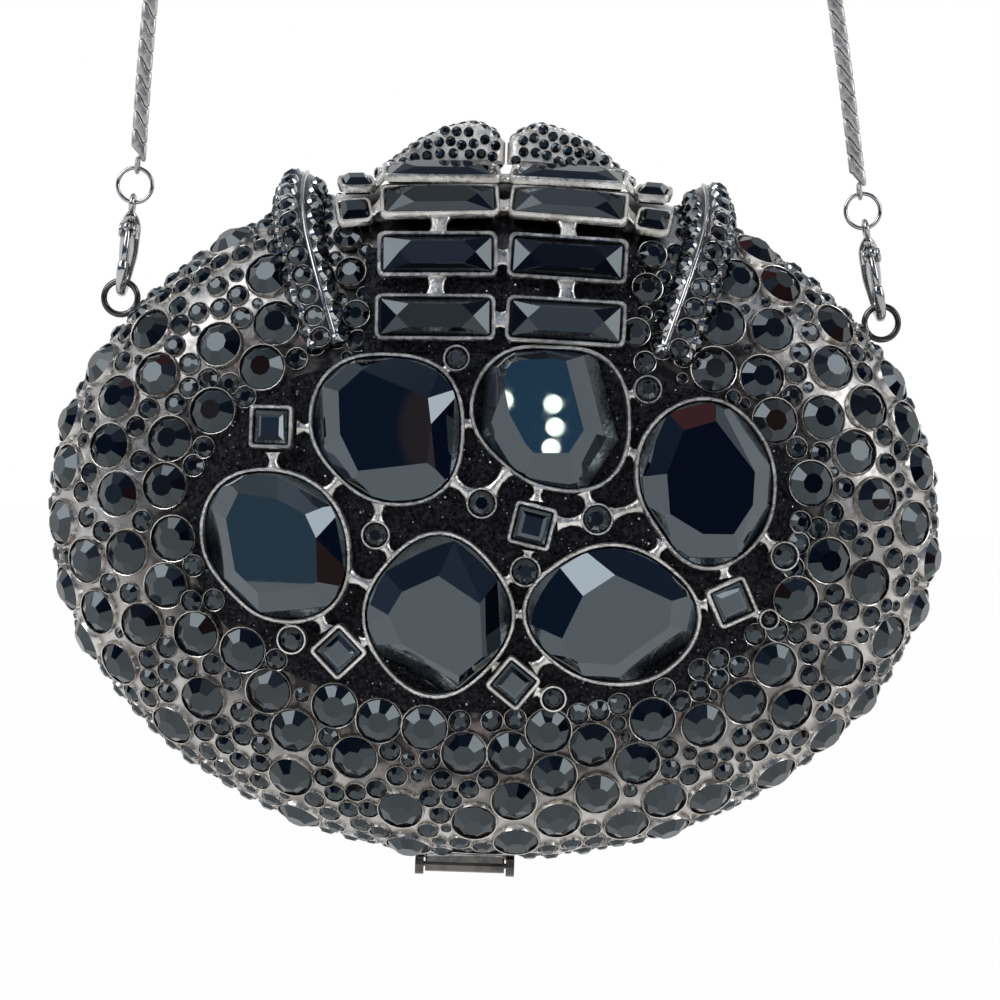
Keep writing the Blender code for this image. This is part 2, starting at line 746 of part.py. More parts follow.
class Claw:
    """One lobster claw, drawn in its own plane: u points forward, v points along its length."""

    def __init__(self, side_name):
        self.name = side_name
        side = SIDES[side_name]
        lean = math.radians(LEAN[side_name])
        self.along = np.array((-side * math.sin(lean), 0.0, math.cos(lean)))
        self.across = np.array((math.cos(lean), 0.0, side * math.sin(lean)))
        self.forward = np.array((0.0, -1.0, 0.0))
        self.base = loop_centre(side)[0] + self.along * LOOP_RADIUS

    def at(self, u, v, x=0.0):
        return self.base + self.forward * u + self.along * v + self.across * x

    def sweep(self, name, stations, finish, collection=None, sides=8):
        """A bar through stations of (u, v, half thickness in the plane, half width across it)."""
        middle = [np.array(s[:2]) for s in stations]
        points = []
        for i, (u, v, thick, wide) in enumerate(stations):
            run = middle[min(i + 1, len(middle) - 1)] - middle[max(i - 1, 0)]
            run /= np.linalg.norm(run)
            for j in range(sides):
                roll = 2 * math.pi * (j + 0.5) / sides
                off = thick * math.cos(roll) / math.cos(math.pi / sides)
                x = wide * math.sin(roll) / math.cos(math.pi / sides)
                points.append(self.at(u - run[1] * off, v + run[0] * off, x))
        return mesh_object(name, points, rings_to_faces(len(stations), sides), finish, collection)

    def plate(self, name, outline, x0, x1, finish, collection=None):
        """A flat piece of the claw's plane between two distances across it."""
        points = [self.at(u, v, x) for x in (x0, x1) for u, v in outline]
        faces = [f[::-1] for f in rings_to_faces(2, len(outline))]
        return mesh_object(name, points, faces, finish, collection)


def circle(u, v, radius, sides, start=0.0):
    step = 2 * math.pi / sides
    return [(u + radius * math.cos(start + i * step), v + radius * math.sin(start + i * step)) for i in range(sides)]


def capsule(a, b, radius):
    """Outline of a bar with round ends, from a to b along u."""
    left = np.linspace(math.pi / 2, 1.5 * math.pi, 6)
    right = np.linspace(-math.pi / 2, math.pi / 2, 6)
    points = [(a[0] + radius * math.cos(t), a[1] + radius * math.sin(t)) for t in left]
    return points + [(b[0] + radius * math.cos(t), b[1] + radius * math.sin(t)) for t in right]


def make_claw(claw):
    """Hook with its eye, the gate and the rivet that the gate turns on."""
    low = -(HOOK_DROP + HOOK_THICK)
    stations = [
        (3.6, 3.5, 0.45, 0.8),
        (3.6, 2.0, 0.7, 1.0),
        (2.9, 0.0, 0.85, 1.0),
        (1.5, low + 0.5, HOOK_THICK, 1.0),
        (0.0, low, HOOK_THICK, 1.0),
        (-1.5, low + 0.5, HOOK_THICK, 1.0),
        (-2.8, 0.2, 1.0, 1.1),
        (-3.2, 2.6, 1.1, 1.4),
        (-3.1, 5.4, 1.2, 1.8),
        (-2.6, 8.2, 1.25, 1.9),
        (-1.7, 10.8, 1.25, 1.9),
        (-0.5, CLAW_LENGTH - 2.8, 0.9, 1.4),
        (0.0, CLAW_LENGTH + CLEAR + JUMP_WIRE - EYE_HOLE * 2 - EYE_WIRE, 0.45, 0.7),
    ]
    hook = claw.sweep(f"{claw.name}_claw", stations, "gunmetal")
    eye_v = CLAW_LENGTH + JUMP_WIRE + CLEAR - EYE_HOLE
    joined = helper_collection(f"{claw.name}_claw_parts")
    sections = torus_sections(
        claw.at(0.0, eye_v), claw.forward, claw.along, claw.across, EYE_HOLE + EYE_WIRE, EYE_WIRE, 14, 6
    )
    ring_body(f"{claw.name}_eye", [s[::-1] for s in sections], "gunmetal", joined)
    inner = GATE_WIDTH / 2 + CHEEK_GAP
    cheek = capsule((-1.9, GATE_PIVOT[1]), GATE_PIVOT, CHEEK_RADIUS)
    for side in (-1, 1):
        ends = sorted((side * inner, side * (inner + CHEEK_THICK)))
        claw.plate(f"{claw.name}_cheek_{side}", cheek, *ends, "gunmetal", joined)
    combine(hook, joined, "UNION")
    bored = helper_collection(f"{claw.name}_claw_bore")
    reach = 3 * (inner + CHEEK_THICK)
    hole = circle(*GATE_PIVOT, RIVET_RADIUS + RIVET_PLAY, 8)
    claw.plate(f"{claw.name}_bore", hole, -reach, reach, "gunmetal", bored)
    combine(hook, bored, "DIFFERENCE")

    u, v = GATE_PIVOT
    bar = [
        (u, v + 0.3, 0.9, GATE_WIDTH / 2),
        (u + 0.5, v - 1.0, 0.8, GATE_WIDTH / 2),
        (u + 1.1, v - 2.6, GATE_THICK, GATE_WIDTH / 2),
        (u + 1.2, v - 4.4, GATE_THICK, GATE_WIDTH / 2),
        (u + 0.9, v - 6.2, GATE_THICK, GATE_WIDTH / 2),
    ]
    gate = claw.sweep(f"{claw.name}_gate", bar, "gunmetal", None, 6)
    nub = helper_collection(f"{claw.name}_gate_nub")
    nub_bar = [(u + 0.2, v + 0.2, 0.6, 0.6), (u + 2.0, v + 0.3, 0.6, 0.65), (u + 3.1, v + 0.5, 0.9, 0.68)]
    claw.sweep(f"{claw.name}_nub", nub_bar, "gunmetal", nub, 6)
    combine(gate, nub, "UNION")
    gate_bore = helper_collection(f"{claw.name}_gate_bore")
    claw.plate(f"{claw.name}_gate_hole", hole, -reach, reach, "gunmetal", gate_bore)
    combine(gate, gate_bore, "DIFFERENCE")
    rivet = claw.plate(
        f"{claw.name}_gate_pin",
        circle(*GATE_PIVOT, RIVET_RADIUS, 8),
        -(inner + CHEEK_THICK),
        inner + CHEEK_THICK,
        "dark_gunmetal",
    )
    return hook, gate, rivet


def make_jump_ring(claw):
    centre = claw.at(0.0, CLAW_LENGTH + JUMP_RADIUS)
    sections = torus_sections(
        centre, claw.across, claw.along, -np.cross(claw.along, claw.across), JUMP_RADIUS, JUMP_WIRE, 18, 6
    )
    return ring_body(f"{claw.name}_jump_ring", sections, "gunmetal")


def strap_points(claws):
    """Middle line of the chain, from the left jump ring to the right one."""
    start_v = CLAW_LENGTH + 2 * JUMP_RADIUS + JUMP_WIRE + CLEAR
    ends = {name: claw.at(0.0, start_v) for name, claw in claws.items()}
    route = [ends["left"]]
    route += [np.array((x, LOOP_BACK, z)) for x, z in STRAP_ROUTE]
    route.append(ends["right"])
    fine = smooth_through(route, 40)
    run = np.concatenate([[0.0], np.cumsum(np.linalg.norm(np.diff(fine, axis=0), axis=1))])
    count = max(2, round(run[-1] / CHAIN_STEP))
    wanted = np.linspace(0.0, run[-1], count + 1)
    return np.column_stack([np.interp(wanted, run, fine[:, k]) for k in range(3)]), run[-1]


def make_chain(claws):
    points, length = strap_points(claws)
    curve = bpy.data.curves.new("chain_strap", "CURVE")
    curve.dimensions = "3D"
    curve.bevel_depth = CHAIN_WIDTH / 2 * MM
    curve.bevel_resolution = 1
    curve.use_fill_caps = True
    spline = curve.splines.new("POLY")
    spline.points.add(len(points) - 1)
    for point, place in zip(spline.points, to_world(points)):
        point.co = (*place, 1.0)
    curve.materials.append(material("chain_metal"))
    chain = bpy.data.objects.new("chain_strap", curve)
    bpy.context.scene.collection.objects.link(chain)
    print(f"chain strap length {length:.1f} mm, {len(points)} points")
    return chain


# Stones and settings


def stretched(flat):
    """A place or an outline drawn for the usual bag, on a bag of these sizes."""
    return [(u * STRETCH_X, v * STRETCH_Z) for u, v in flat]


def large_outline(reaches, inset):
    """Rounded outline of a large stone, read from its reach at every eighth of a turn."""
    reach = smooth_through([(r,) for r in reaches], 2, closed=True)[:, 0] - inset
    turns = [2 * math.pi * i / len(reach) for i in range(len(reach))]
    return stretched((r * math.cos(t), r * math.sin(t)) for r, t in zip(reach, turns))


def rectangle(width, height, inset=0.0):
    w, h = width / 2 - inset, height / 2 - inset
    return [(w, -h), (w, h), (-w, h), (-w, -h)]


def bezel(name, seat, outside, inside, low, high, finish, collection=None):
    """Upright wall round a stone."""
    walls = [placed(seat, outline, lift) for outline, lift in ((outside, low), (outside, high), (inside, high), (inside, low))]
    sections = [[walls[k][i] for k in range(4)] for i in range(len(outside))]
    return ring_body(name, [s[::-1] for s in sections], finish, collection)


def cut_stone(name, seat, girdle, low, girdle_low, girdle_high, table, table_size):
    """A flat-backed stone: girdle, a ring of crown facets and a table with half as many sides."""
    count = len(girdle)
    points = placed(seat, [(u * 0.9, v * 0.9) for u, v in girdle], low)
    points += placed(seat, girdle, girdle_low)
    points += placed(seat, girdle, girdle_high)
    points += placed(seat, [(u * table_size, v * table_size) for u, v in girdle[::2]], table)
    faces = [tuple(range(count - 1, -1, -1))]
    for ring in (0, count):
        for i in range(count):
            n = (i + 1) % count
            faces.append((ring + i, ring + n, ring + count + n, ring + count + i))
    rim, top, half = 2 * count, 3 * count, count // 2
    for j in range(half):
        before, here, after = (2 * j - 1) % count, 2 * j, 2 * j + 1
        faces.append((rim + before, rim + here, top + j))
        faces.append((rim + here, rim + after, top + j))
        faces.append((rim + after, top + (j + 1) % half, top + j))
    faces.append(tuple(range(top, top + half)))
    return mesh_object(name, points, faces, "black_crystal")


def step_stone(name, seat, girdle, low, high, table, bevel):
    """A step-cut square or baguette: straight girdle and four sloping crown facets."""
    points = placed(seat, girdle, low) + placed(seat, girdle, high)
    shrunk = [(u - math.copysign(bevel, u), v - math.copysign(bevel, v)) for u, v in girdle]
    points += placed(seat, shrunk, table)
    return mesh_object(name, points, rings_to_faces(3, 4), "black_crystal")


def turned_reach(outline, turn):
    """How far a flat outline reaches in a direction."""
    way = np.array((math.cos(turn), math.sin(turn)))
    best = 0.0
    for a, b in zip(outline, outline[1:] + outline[:1]):
        side = np.array(b) - np.array(a)
        grid = np.column_stack((way, -side))
        if abs(np.linalg.det(grid)) < 1e-9:
            continue
        along, share = np.linalg.solve(grid, np.array(a))
        if along > 0 and -1e-6 <= share <= 1 + 1e-6:
            best = max(best, along)
    return best


def make_lattice():
    """Wire bezels of the large, square and round stones, joined by bridges; and the stones in them."""
    places, outlines, stones = {}, {}, []
    cups = helper_collection("lattice_parts")
    first = None
    high = BEZEL_FOOT + BEZEL_HEIGHT
    play = BEZEL_WALL + STONE_PLAY
    for name, (middle, reaches) in LARGE_STONES.items():
        middle = stretched([middle])[0]
        seat = seat_on_dome(*middle)
        outside = large_outline(reaches, 0.0)
        inside = large_outline(reaches, BEZEL_WALL)
        places[name], outlines[name] = middle, outside
        target = None if first is None else cups
        made_name = "stone_lattice" if first is None else f"{name}_bezel"
        made = bezel(made_name, seat, outside, inside, BEZEL_FOOT, high, "gunmetal", target)
        first = first or made
        girdle = large_outline(reaches, play)
        foot = BEZEL_FOOT + CLEAR
        stones.append(
            cut_stone(name, seat, girdle, foot, foot + 1.0, high - 0.4, high + STONE_CROWN, 0.6)
        )
    for name, (middle, side, turn) in SQUARE_STONES.items():
        middle = stretched([middle])[0]
        side *= STRETCH_LEAST
        seat = seat_on_dome(*middle, turn)
        places[name] = middle
        c, s = math.cos(math.radians(turn)), math.sin(math.radians(turn))
        flat = rectangle(side, side)
        outlines[name] = [(u * c - v * s, u * s + v * c) for u, v in flat]
        inside = rectangle(side, side, BEZEL_WALL)
        bezel(f"{name}_bezel", seat, flat, inside, BEZEL_FOOT, high, "gunmetal", cups)
        girdle = rectangle(side, side, play)
        stones.append(
            step_stone(name, seat, girdle, BEZEL_FOOT + CLEAR, high - 0.5, high + 0.5, side * 0.14)
        )
    for name, (middle, radius) in ROUND_STONES.items():
        middle = stretched([middle])[0]
        radius *= STRETCH_LEAST
        seat = seat_on_dome(*middle)
        places[name] = middle
        outlines[name] = circle(0, 0, radius, 8)
        points = placed(seat, outlines[name], BEZEL_FOOT)
        points += placed(seat, outlines[name], high - 0.6)
        points += placed(seat, circle(0, 0, radius * 0.55, 8), BUTTON_HEIGHT)
        mesh_object(f"{name}_cup", points, rings_to_faces(3, 8), "gunmetal", cups)
    for a, b in BRIDGES:
        start, end = np.array(places[a]), np.array(places[b])
        way = end - start
        turn = math.atan2(way[1], way[0])
        way = way / np.linalg.norm(way)
        start = start + way * (turned_reach(outlines[a], turn) - BEZEL_WALL / 2)
        end = end - way * (turned_reach(outlines[b], turn + math.pi) - BEZEL_WALL / 2)
        if np.dot(end - start, way) < BRIDGE_WIDTH:
            middle = (start + end) / 2
            start, end = middle - way * BRIDGE_WIDTH / 2, middle + way * BRIDGE_WIDTH / 2
        side = np.array((-way[1], way[0])) * BRIDGE_WIDTH / 2
        points = []
        for lift in (BEZEL_FOOT, BEZEL_FOOT + BRIDGE_HEIGHT):
            for corner in (start - side, end - side, end + side, start + side):
                points.append(onto_dome(dome_at(*corner), lift)[0])
        mesh_object(f"bridge_{a}_{b}", points, rings_to_faces(2, 4), "gunmetal", cups)
    combine(first, cups, "UNION")
    return first, stones


def make_baguettes():
    """Linked bezels at the top of the front with their baguettes and small squares."""
    parts = helper_collection("baguette_parts")
    stones, first = [], None
    low, high = 0.0, FRAME_DEPTH
    play = BEZEL_WALL + STONE_PLAY

    def framed(name, seat, width, height, bevel):
        nonlocal first
        target = None if first is None else parts
        made_name = "baguette_setting" if first is None else f"{name}_bezel"
        outside, inside = rectangle(width, height), rectangle(width, height, BEZEL_WALL)
        made = bezel(made_name, seat, outside, inside, low, high, "gunmetal", target)
        first = first or made
        girdle = rectangle(width, height, play)
        stones.append(step_stone(name, seat, girdle, low + CLEAR, high - 0.5, high + FRAME_CROWN / 2, bevel))

    for row, place in BAGUETTE_ROWS.items():
        for side_name, side in SIDES.items():
            seat = tilted_seat(side * BAGUETTE_COLUMN, *place)
            framed(f"baguette_{row}_{side_name}", seat, BAGUETTE_WIDTH, BAGUETTE_HEIGHT, 2.2)
    for row, place in FLANK_ROWS.items():
        for side_name, side in SIDES.items():
            seat = tilted_seat(side * FLANK_COLUMN, *place)
            framed(f"flank_{row}_{side_name}", seat, FLANK_SIDE, FLANK_SIDE, 1.4)

    def link(name, a, b, across):
        """A tab between two bezels, from one edge to the next."""
        points = []
        for place, out in (a, b):
            for wide, lift in ((-1, 0.2), (1, 0.2), (1, 1.4), (-1, 1.4)):
                points.append(place + across * wide * TAB_SIZE / 2 + out * lift)
        mesh_object(name, points, rings_to_faces(2, 4), "gunmetal", parts)

    rows = list(BAGUETTE_ROWS)
    reach = BAGUETTE_HEIGHT / 2 - BEZEL_WALL / 2
    for side_name, side in SIDES.items():
        for low_row, high_row in zip(rows, rows[1:]):
            lower = tilted_seat(side * BAGUETTE_COLUMN, *BAGUETTE_ROWS[low_row])
            upper = tilted_seat(side * BAGUETTE_COLUMN, *BAGUETTE_ROWS[high_row])
            link(
                f"tab_{low_row}_{side_name}",
                (lower[3] + lower[1] * reach, lower[2]),
                (upper[3] - upper[1] * reach, upper[2]),
                lower[0],
            )
        edge = FLANK_SIDE / 2 - BEZEL_WALL / 2
        for row, sizes in FLANK_ROWS.items():
            beside = tilted_seat(side * (BAGUETTE_COLUMN + BAGUETTE_WIDTH / 2 - BEZEL_WALL / 2), *BAGUETTE_ROWS[row])
            flank = tilted_seat(side * (FLANK_COLUMN - edge), *sizes)
            pair = [(beside[3], beside[2]), (flank[3], flank[2])]
            if side < 0:
                pair.reverse()
            link(f"flank_tab_{row}_{side_name}", *pair, -beside[1])
    for row, sizes in BAGUETTE_ROWS.items():
        inner = BAGUETTE_COLUMN - BAGUETTE_WIDTH / 2 + BEZEL_WALL / 2
        left, right = tilted_seat(-inner, *sizes), tilted_seat(inner, *sizes)
        link(f"middle_tab_{row}", (left[3], left[2]), (right[3], right[2]), -left[1])
    combine(first, parts, "UNION")
    return first, stones


def panel_reach(turn):
    """How far the oval glitter sheet reaches from the middle of the bag in a direction."""
    c, s = math.cos(turn), math.sin(turn)
    tall = PANEL_SHOULDER if s > 0 else PANEL_DROP
    power = PANEL_POWER
    return (abs(c / PANEL_HALF_WIDTH) ** power + abs(s / tall) ** power) ** (-1 / power)


def make_panel():
    """Oval glitter sheet that lies on the front shell behind the large stones."""
    flat = []
    for k, count in enumerate(PANEL_RINGS):
        share = 1 - k / (len(PANEL_RINGS) - 1)
        for j in range(count):
            turn = 2 * math.pi * j / count
            reach = panel_reach(turn) * share
            flat.append((reach * math.cos(turn), reach * math.sin(turn)))
    skins = []
    for lift in (PANEL_GAP, PANEL_GAP + PANEL_THICK):
        skins.append(([onto_dome(dome_at(*place), lift)[0] for place in flat], flat, []))
    return closed_sheet("glitter_panel", skins, PANEL_RINGS[0], "black_glitter")


def make_upper_panel():
    """Second glitter sheet, from the oval one up behind the baguettes."""
    across = np.linspace(-1.0, 1.0, 9)
    climb = np.linspace(0.0, 1.0, 7)
    columns, rows = len(across) - 1, len(climb) - 1
    points, faces = [], []
    for lift in (PANEL_GAP, PANEL_GAP + PANEL_THICK):
        for x in across * PANEL_NECK:
            oval_top = PANEL_SHOULDER * (1 - abs(x / PANEL_HALF_WIDTH) ** PANEL_POWER) ** (1 / PANEL_POWER)
            low = oval_top + 2 * CLEAR
            for z in low + (PANEL_TOP - low) * climb:
                points.append(onto_dome(dome_at(x, z), lift)[0])
    half, step = (columns + 1) * (rows + 1), rows + 1
    for start in (0, half):
        for i in range(columns):
            for k in range(rows):
                a = start + i * step + k
                faces.append((a, a + 1, a + step + 1, a + step))
    border = [i * step for i in range(columns)] + [columns * step + k for k in range(rows)]
    border += [(columns - i) * step + rows for i in range(columns)] + [rows - k for k in range(rows)]
    for a, b in zip(border, border[1:] + border[:1]):
        faces.append((a, b, half + b, half + a))
    return mesh_object("upper_panel", points, faces, "black_glitter")


def make_ridge(side_name):
    """Raised rib over a shoulder: a rounded section that follows the shell and fades out below."""
    side = SIDES[side_name]
    top_x, from_top = RIDGE_TOP
    edge_z = HALF_HEIGHT * math.sqrt(1 - (top_x / HALF_WIDTH) ** 2)
    start = onto_dome((side * top_x, -1.2, edge_z))[0]
    end = dome_at(side * RIDGE_END[0], RIDGE_END[1])
    knee = onto_dome((side * top_x, -FRONT_DEPTH * 0.5, edge_z - from_top))[0]
    line = [onto_dome(p)[0] for p in smooth_through([start, knee, end], 4)]
    last = len(line) - 1
    base = np.linspace(-1.0, 1.0, 4)
    arc = np.linspace(0.0, math.pi, 7)[1:-1]
    points = []
    for i, place in enumerate(line):
        share = i / last
        half = (RIDGE_WIDTH_TOP + (RIDGE_WIDTH_END - RIDGE_WIDTH_TOP) * share) / 2
        rise = RIDGE_RISE_TOP + (RIDGE_RISE_END - RIDGE_RISE_TOP) * share
        normal = onto_dome(place)[1]
        run = line[min(i + 1, last)] - line[max(i - 1, 0)]
        run /= np.linalg.norm(run)
        across = np.cross(run, normal)
        across /= np.linalg.norm(across)
        for off in base:
            points.append(onto_dome(place + across * half * off, CLEAR)[0])
        for turn in arc:
            flank = onto_dome(place + across * half * math.cos(turn), CLEAR)[0]
            points.append(flank + normal * rise * math.sin(turn))
    faces = rings_to_faces(len(line), len(base) + len(arc))
    return mesh_object(f"{side_name}_ridge", points, faces, "gunmetal")


def axis_empty(name, place, children):
    """An empty on a joint's axis that carries the pieces of the moving body."""
    empty = bpy.data.objects.new(name, None)
    empty.location = Vector(to_world([place])[0])
    empty.empty_display_size = 0.01
    bpy.context.scene.collection.objects.link(empty)
    for child in children:
        child.parent = empty
        child.matrix_parent_inverse = Matrix.Translation(-empty.location)
    return empty


def report_axes(claws):
    """Prints the joint axes in metres, for the record."""
    for name, claw in claws.items():
        print(name, "loop contact", to_world([claw.base])[0].round(5))
        print(name, "jump contact", to_world([claw.at(0, CLAW_LENGTH)])[0].round(5))
        print(name, "gate pivot", to_world([claw.at(*GATE_PIVOT)])[0].round(5))
    print("shell hinge", to_world([(0.0, 0.0, AXIS_Z)])[0].round(5))


def build():
    clear_scene()
    claws = {name: Claw(name) for name in SIDES}
    make_chain(claws)
    back = [
        make_shell("back_shell", BACK, back_studs()),
        make_rim("back_rim", BACK),
        make_lining("back_lining", BACK),
        make_tab("back_tab", SIDES["left"], BACK),
    ]
    front = [
        make_shell("front_shell", FRONT, front_studs()),
        make_rim("front_rim", FRONT),
        make_lining("front_lining", FRONT),
        make_panel(),
        make_upper_panel(),
        make_tab("front_tab", SIDES["right"], FRONT),
    ]
    back_leaf, front_leaf, pin = make_hinge()
    back += [back_leaf, pin]
    front.append(front_leaf)
    lattice, stones = make_lattice()
    setting, baguettes = make_baguettes()
    front += [lattice, setting, *stones, *baguettes]
    front += [make_ridge(name) for name in SIDES]
    back += [make_loop(name) for name in SIDES]
    for name, claw in claws.items():
        make_jump_ring(claw)
        hook, gate, rivet = make_claw(claw)
        axis_empty(f"{name}_claw_axis", claw.at(0, CLAW_LENGTH), [hook, rivet])
        axis_empty(f"{name}_gate_axis", claw.at(*GATE_PIVOT), [gate])
    axis_empty("bag_swing_axis", claws["left"].base, back)
    axis_empty("shell_hinge_axis", (0.0, 0.0, AXIS_Z), front)
    report_axes(claws)


build()
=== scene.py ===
"""Looks of the evening bag: cut stones in cups, glitter, settings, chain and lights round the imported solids.

Sizes are in millimetres from the middle of the bag, as in the solids, until a mesh is made in metres.
"""

import math

import bmesh
import bpy
import numpy as np
from mathutils import Matrix, Vector


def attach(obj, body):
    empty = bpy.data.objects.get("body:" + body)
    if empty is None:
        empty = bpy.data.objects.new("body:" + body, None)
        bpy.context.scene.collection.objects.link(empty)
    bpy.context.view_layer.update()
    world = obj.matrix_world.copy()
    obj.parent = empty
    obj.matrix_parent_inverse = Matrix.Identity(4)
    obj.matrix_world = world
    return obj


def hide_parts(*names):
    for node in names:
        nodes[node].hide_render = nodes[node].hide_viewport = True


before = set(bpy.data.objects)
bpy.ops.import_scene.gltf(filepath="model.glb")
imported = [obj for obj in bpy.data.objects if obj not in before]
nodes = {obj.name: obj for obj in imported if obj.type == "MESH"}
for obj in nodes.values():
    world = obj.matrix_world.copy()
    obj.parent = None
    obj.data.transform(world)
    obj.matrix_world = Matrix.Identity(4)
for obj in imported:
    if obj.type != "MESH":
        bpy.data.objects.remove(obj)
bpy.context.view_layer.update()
dice = np.random.default_rng(11)
glint_dice = np.random.default_rng(23)

MM = 0.001
SIDES = {"left": -1, "right": 1}
FRONT = -1
BACK = 1
X_AXIS, Y_AXIS, Z_AXIS = np.eye(3)

# Sizes shared with the solids
HALF_WIDTH = 83.4
HALF_HEIGHT = 64.4
DEPTH = {FRONT: 24.0, BACK: 23.0}
DOME_POWER = 3.5
WALL = 1.2
SEAM = 0.4
CLEAR = 0.3
RIM_DEPTH = 3.4
HINGE_SHIFT = -3.4
STRAP_TOP = 178.0
LOOP_ANGLE = 34.0
LOOP_STANDOFF = 4.4
LOOP_RADIUS = 3.2
LOOP_WIRE = 0.6
LOOP_BACK = 1.4
CLAW_LENGTH = 15.1
CHEEK_GAP = 0.3
CHEEK_THICK = 0.7
CHEEK_RADIUS = 1.4
EYE_HOLE = 1.0
EYE_WIRE = 0.55
JUMP_RADIUS = 3.3
JUMP_WIRE = 0.4
LEAN = {"left": 5.3, "right": 11.3}
GATE_PIVOT = (1.3, 9.6)
GATE_WIDTH = 1.4
STRAP_ROUTE = [
    (-68.9, 92.0),
    (-66.4, 122.0),
    (-59.0, 148.0),
    (-40.0, 168.0),
    (0.0, STRAP_TOP),
    (27.0, 172.0),
    (45.5, 155.0),
    (55.8, 128.0),
    (62.3, 96.0),
]
BEZEL_WALL = 0.8
BEZEL_FOOT = 1.4
BEZEL_HIGH = 4.0
STONE_PLAY = 0.25
STONE_CROWN = 3.2
FRAME_DEPTH = 2.4
TAB_THICK = 6.0
TAB_LENGTH = 24.8
TAB_PEAK = 7.4
TAB_PEAK_HEIGHT = 9.6
TAB_LIFT = 2.2
TAB_NOTCH_HEIGHT = 4.0
TAB_FOOT = 6.0
TAB_FOOT_THICK = 2.0

# Chain links: each level is a share of the pitch, with the width and depth it has there
LINK_WIDTH = 3.0
LINK_PITCH = 3.45
LINK_SLANT = 2.6
LINK_DEPTH = 0.62
LINK_LEVELS = [
    (0.0, 0.86, 0.45),
    (0.05, 0.95, 0.8),
    (0.16, 1.0, 1.0),
    (0.8, 1.0, 1.0),
    (0.91, 0.95, 0.8),
    (0.96, 0.86, 0.45),
]
LINK_SIDES = 24
LINK_POWERS = (0.6, 0.8)
LINK_SEAM = 0.7
CHAIN_MARGIN = 1.9
END_LINK = (1.35, 0.4)
END_LINK_SHIFT = 0.2
ROUTE_STEPS = 40

# Claws and loops: stations of (forward, along, half thickness, half width), and how a bar's ends close
HOOK_LOW = -2.05
HOOK_STATIONS = [
    (3.6, 3.5, 0.45, 0.8),
    (3.6, 2.0, 0.7, 1.0),
    (2.9, 0.0, 0.85, 1.0),
    (1.5, HOOK_LOW + 0.5, 0.95, 1.0),
    (0.0, HOOK_LOW, 0.95, 1.0),
    (-1.5, HOOK_LOW + 0.5, 0.95, 1.0),
    (-2.8, 0.2, 1.0, 1.1),
    (-3.2, 2.6, 1.1, 1.4),
    (-3.1, 5.4, 1.2, 1.8),
    (-2.6, 8.2, 1.25, 1.9),
    (-1.7, 10.8, 1.25, 1.9),
    (-0.5, CLAW_LENGTH - 2.8, 0.9, 1.4),
    (0.0, CLAW_LENGTH + CLEAR + JUMP_WIRE - EYE_HOLE * 2 - EYE_WIRE, 0.5, 0.7),
]
GATE_HALF = GATE_WIDTH / 2
GATE_BAR = [
    (0.0, 0.3, 0.9, GATE_HALF),
    (0.5, -1.0, 0.8, GATE_HALF),
    (1.1, -2.6, 0.6, GATE_HALF),
    (1.2, -4.4, 0.6, GATE_HALF),
    (0.9, -6.2, 0.6, GATE_HALF),
]
GATE_NUB = [(0.2, 0.2, 0.6, 0.6), (2.0, 0.3, 0.6, 0.65), (3.1, 0.5, 0.9, 0.68)]
BAR_END = [(0.5, 0.55), (0.3, 0.85)]
CHEEK_START = -1.9
RIVET_HEAD = [(0.1, 0.15), (0.05, 0.3), (-0.1, 0.35)]
LUG_LEVELS = [(2.7, 0.8, 0.5), (3.2, 1.1, 0.6), (3.8, 1.3, 0.62), (4.3, 1.7, 0.9)]

# Linings: room to the shell, rings of the skin, and the pulls round the edge with their depth and swell
LINING_GAP = 0.45
LINING_RINGS = 24
PULLS = 23
PULL_DEPTH = 0.25
PULL_SWELL = 1.2

# Tabs: how much the faces draw in, where the foot stands, and the room for small stones
TAB_INSET = 0.15
FOOT_BACK = 1.6
FOOT_INSET = -0.15
PAVE_TRIED = 9000
PAVE_ROOM = 1.1
PAVE_LOWEST = -0.5

# Crowns of the large stones
CROWN_DROP = 0.45
CROWN_SLOPES = (22, 62)
CORNER_SLOPE = 6.0
GIRDLE_FACETS = 15
GIRDLE_SLOPE = 60.0
GIRDLE_DROP = 0.1
FACING_WIDTH = 2.0
LEAST_RUN = 1.2

# Lip of a bezel, the lattice's squares and round buttons, and the levels of its bridges
LIP_SHARE = 0.25
LIP_DROP = 0.3
SQUARE_CORNERS = (0.9, 0.3, 0.25)
SQUARE_RISE = 0.5
BUTTON_WALL = 0.5
BUTTON_DROP = 0.6
BUTTON_INSET = 0.6
BUTTON_GIRDLE = 1.0
BUTTON_RISE = 0.2
BUTTON_CUT = (9, 0.46)
BRIDGE_OVERLAP = 0.5
BRIDGE_LEAST = 1.3
BRIDGE_RISE = 0.75
BRIDGE_LEVELS = [(0.0, 1.7), (0.2, 1.05), (0.5, 0.75), (0.8, 1.05), (1.0, 1.7)]

# Cuts of the round stones: facets with the table's share, height of the back, share of the girdle
ROUND_CUTS = ((8, 0.46), (9, 0.44), (10, 0.47))
ROUND_LOW = -0.2
ROUND_GIRDLE = 0.98

# Frames and cuts of the baguettes, and the ties between the frames
FRAME_LOW = 1.0
FRAME_RISE = 1.0
FRAME_GIRDLE = 0.5
FRAME_CORNERS = (1.3, 0.8)
BAGUETTE_CORNER = 0.7
BAGUETTE_BAND = 0.66
BAGUETTE_END = 3.0
FLANK_CORNER = 0.3
TIE_WIDTH = 4.0
TIE_WAIST = 0.3
TIE_THICK = 1.4
TIE_LIFT = 0.8
TIE_CORNER = 0.5

# Painted reflection: every facet of a stone gets a random glint value that lightens its colour, in place of
# what it would mirror; tables, by their area in square metres, all have the same value, which leaves them
# unlightened
FACET_GLINT = "painted_facet_glint"
TABLE_GLINT = 0.5
TABLE_AREA = 60e-6

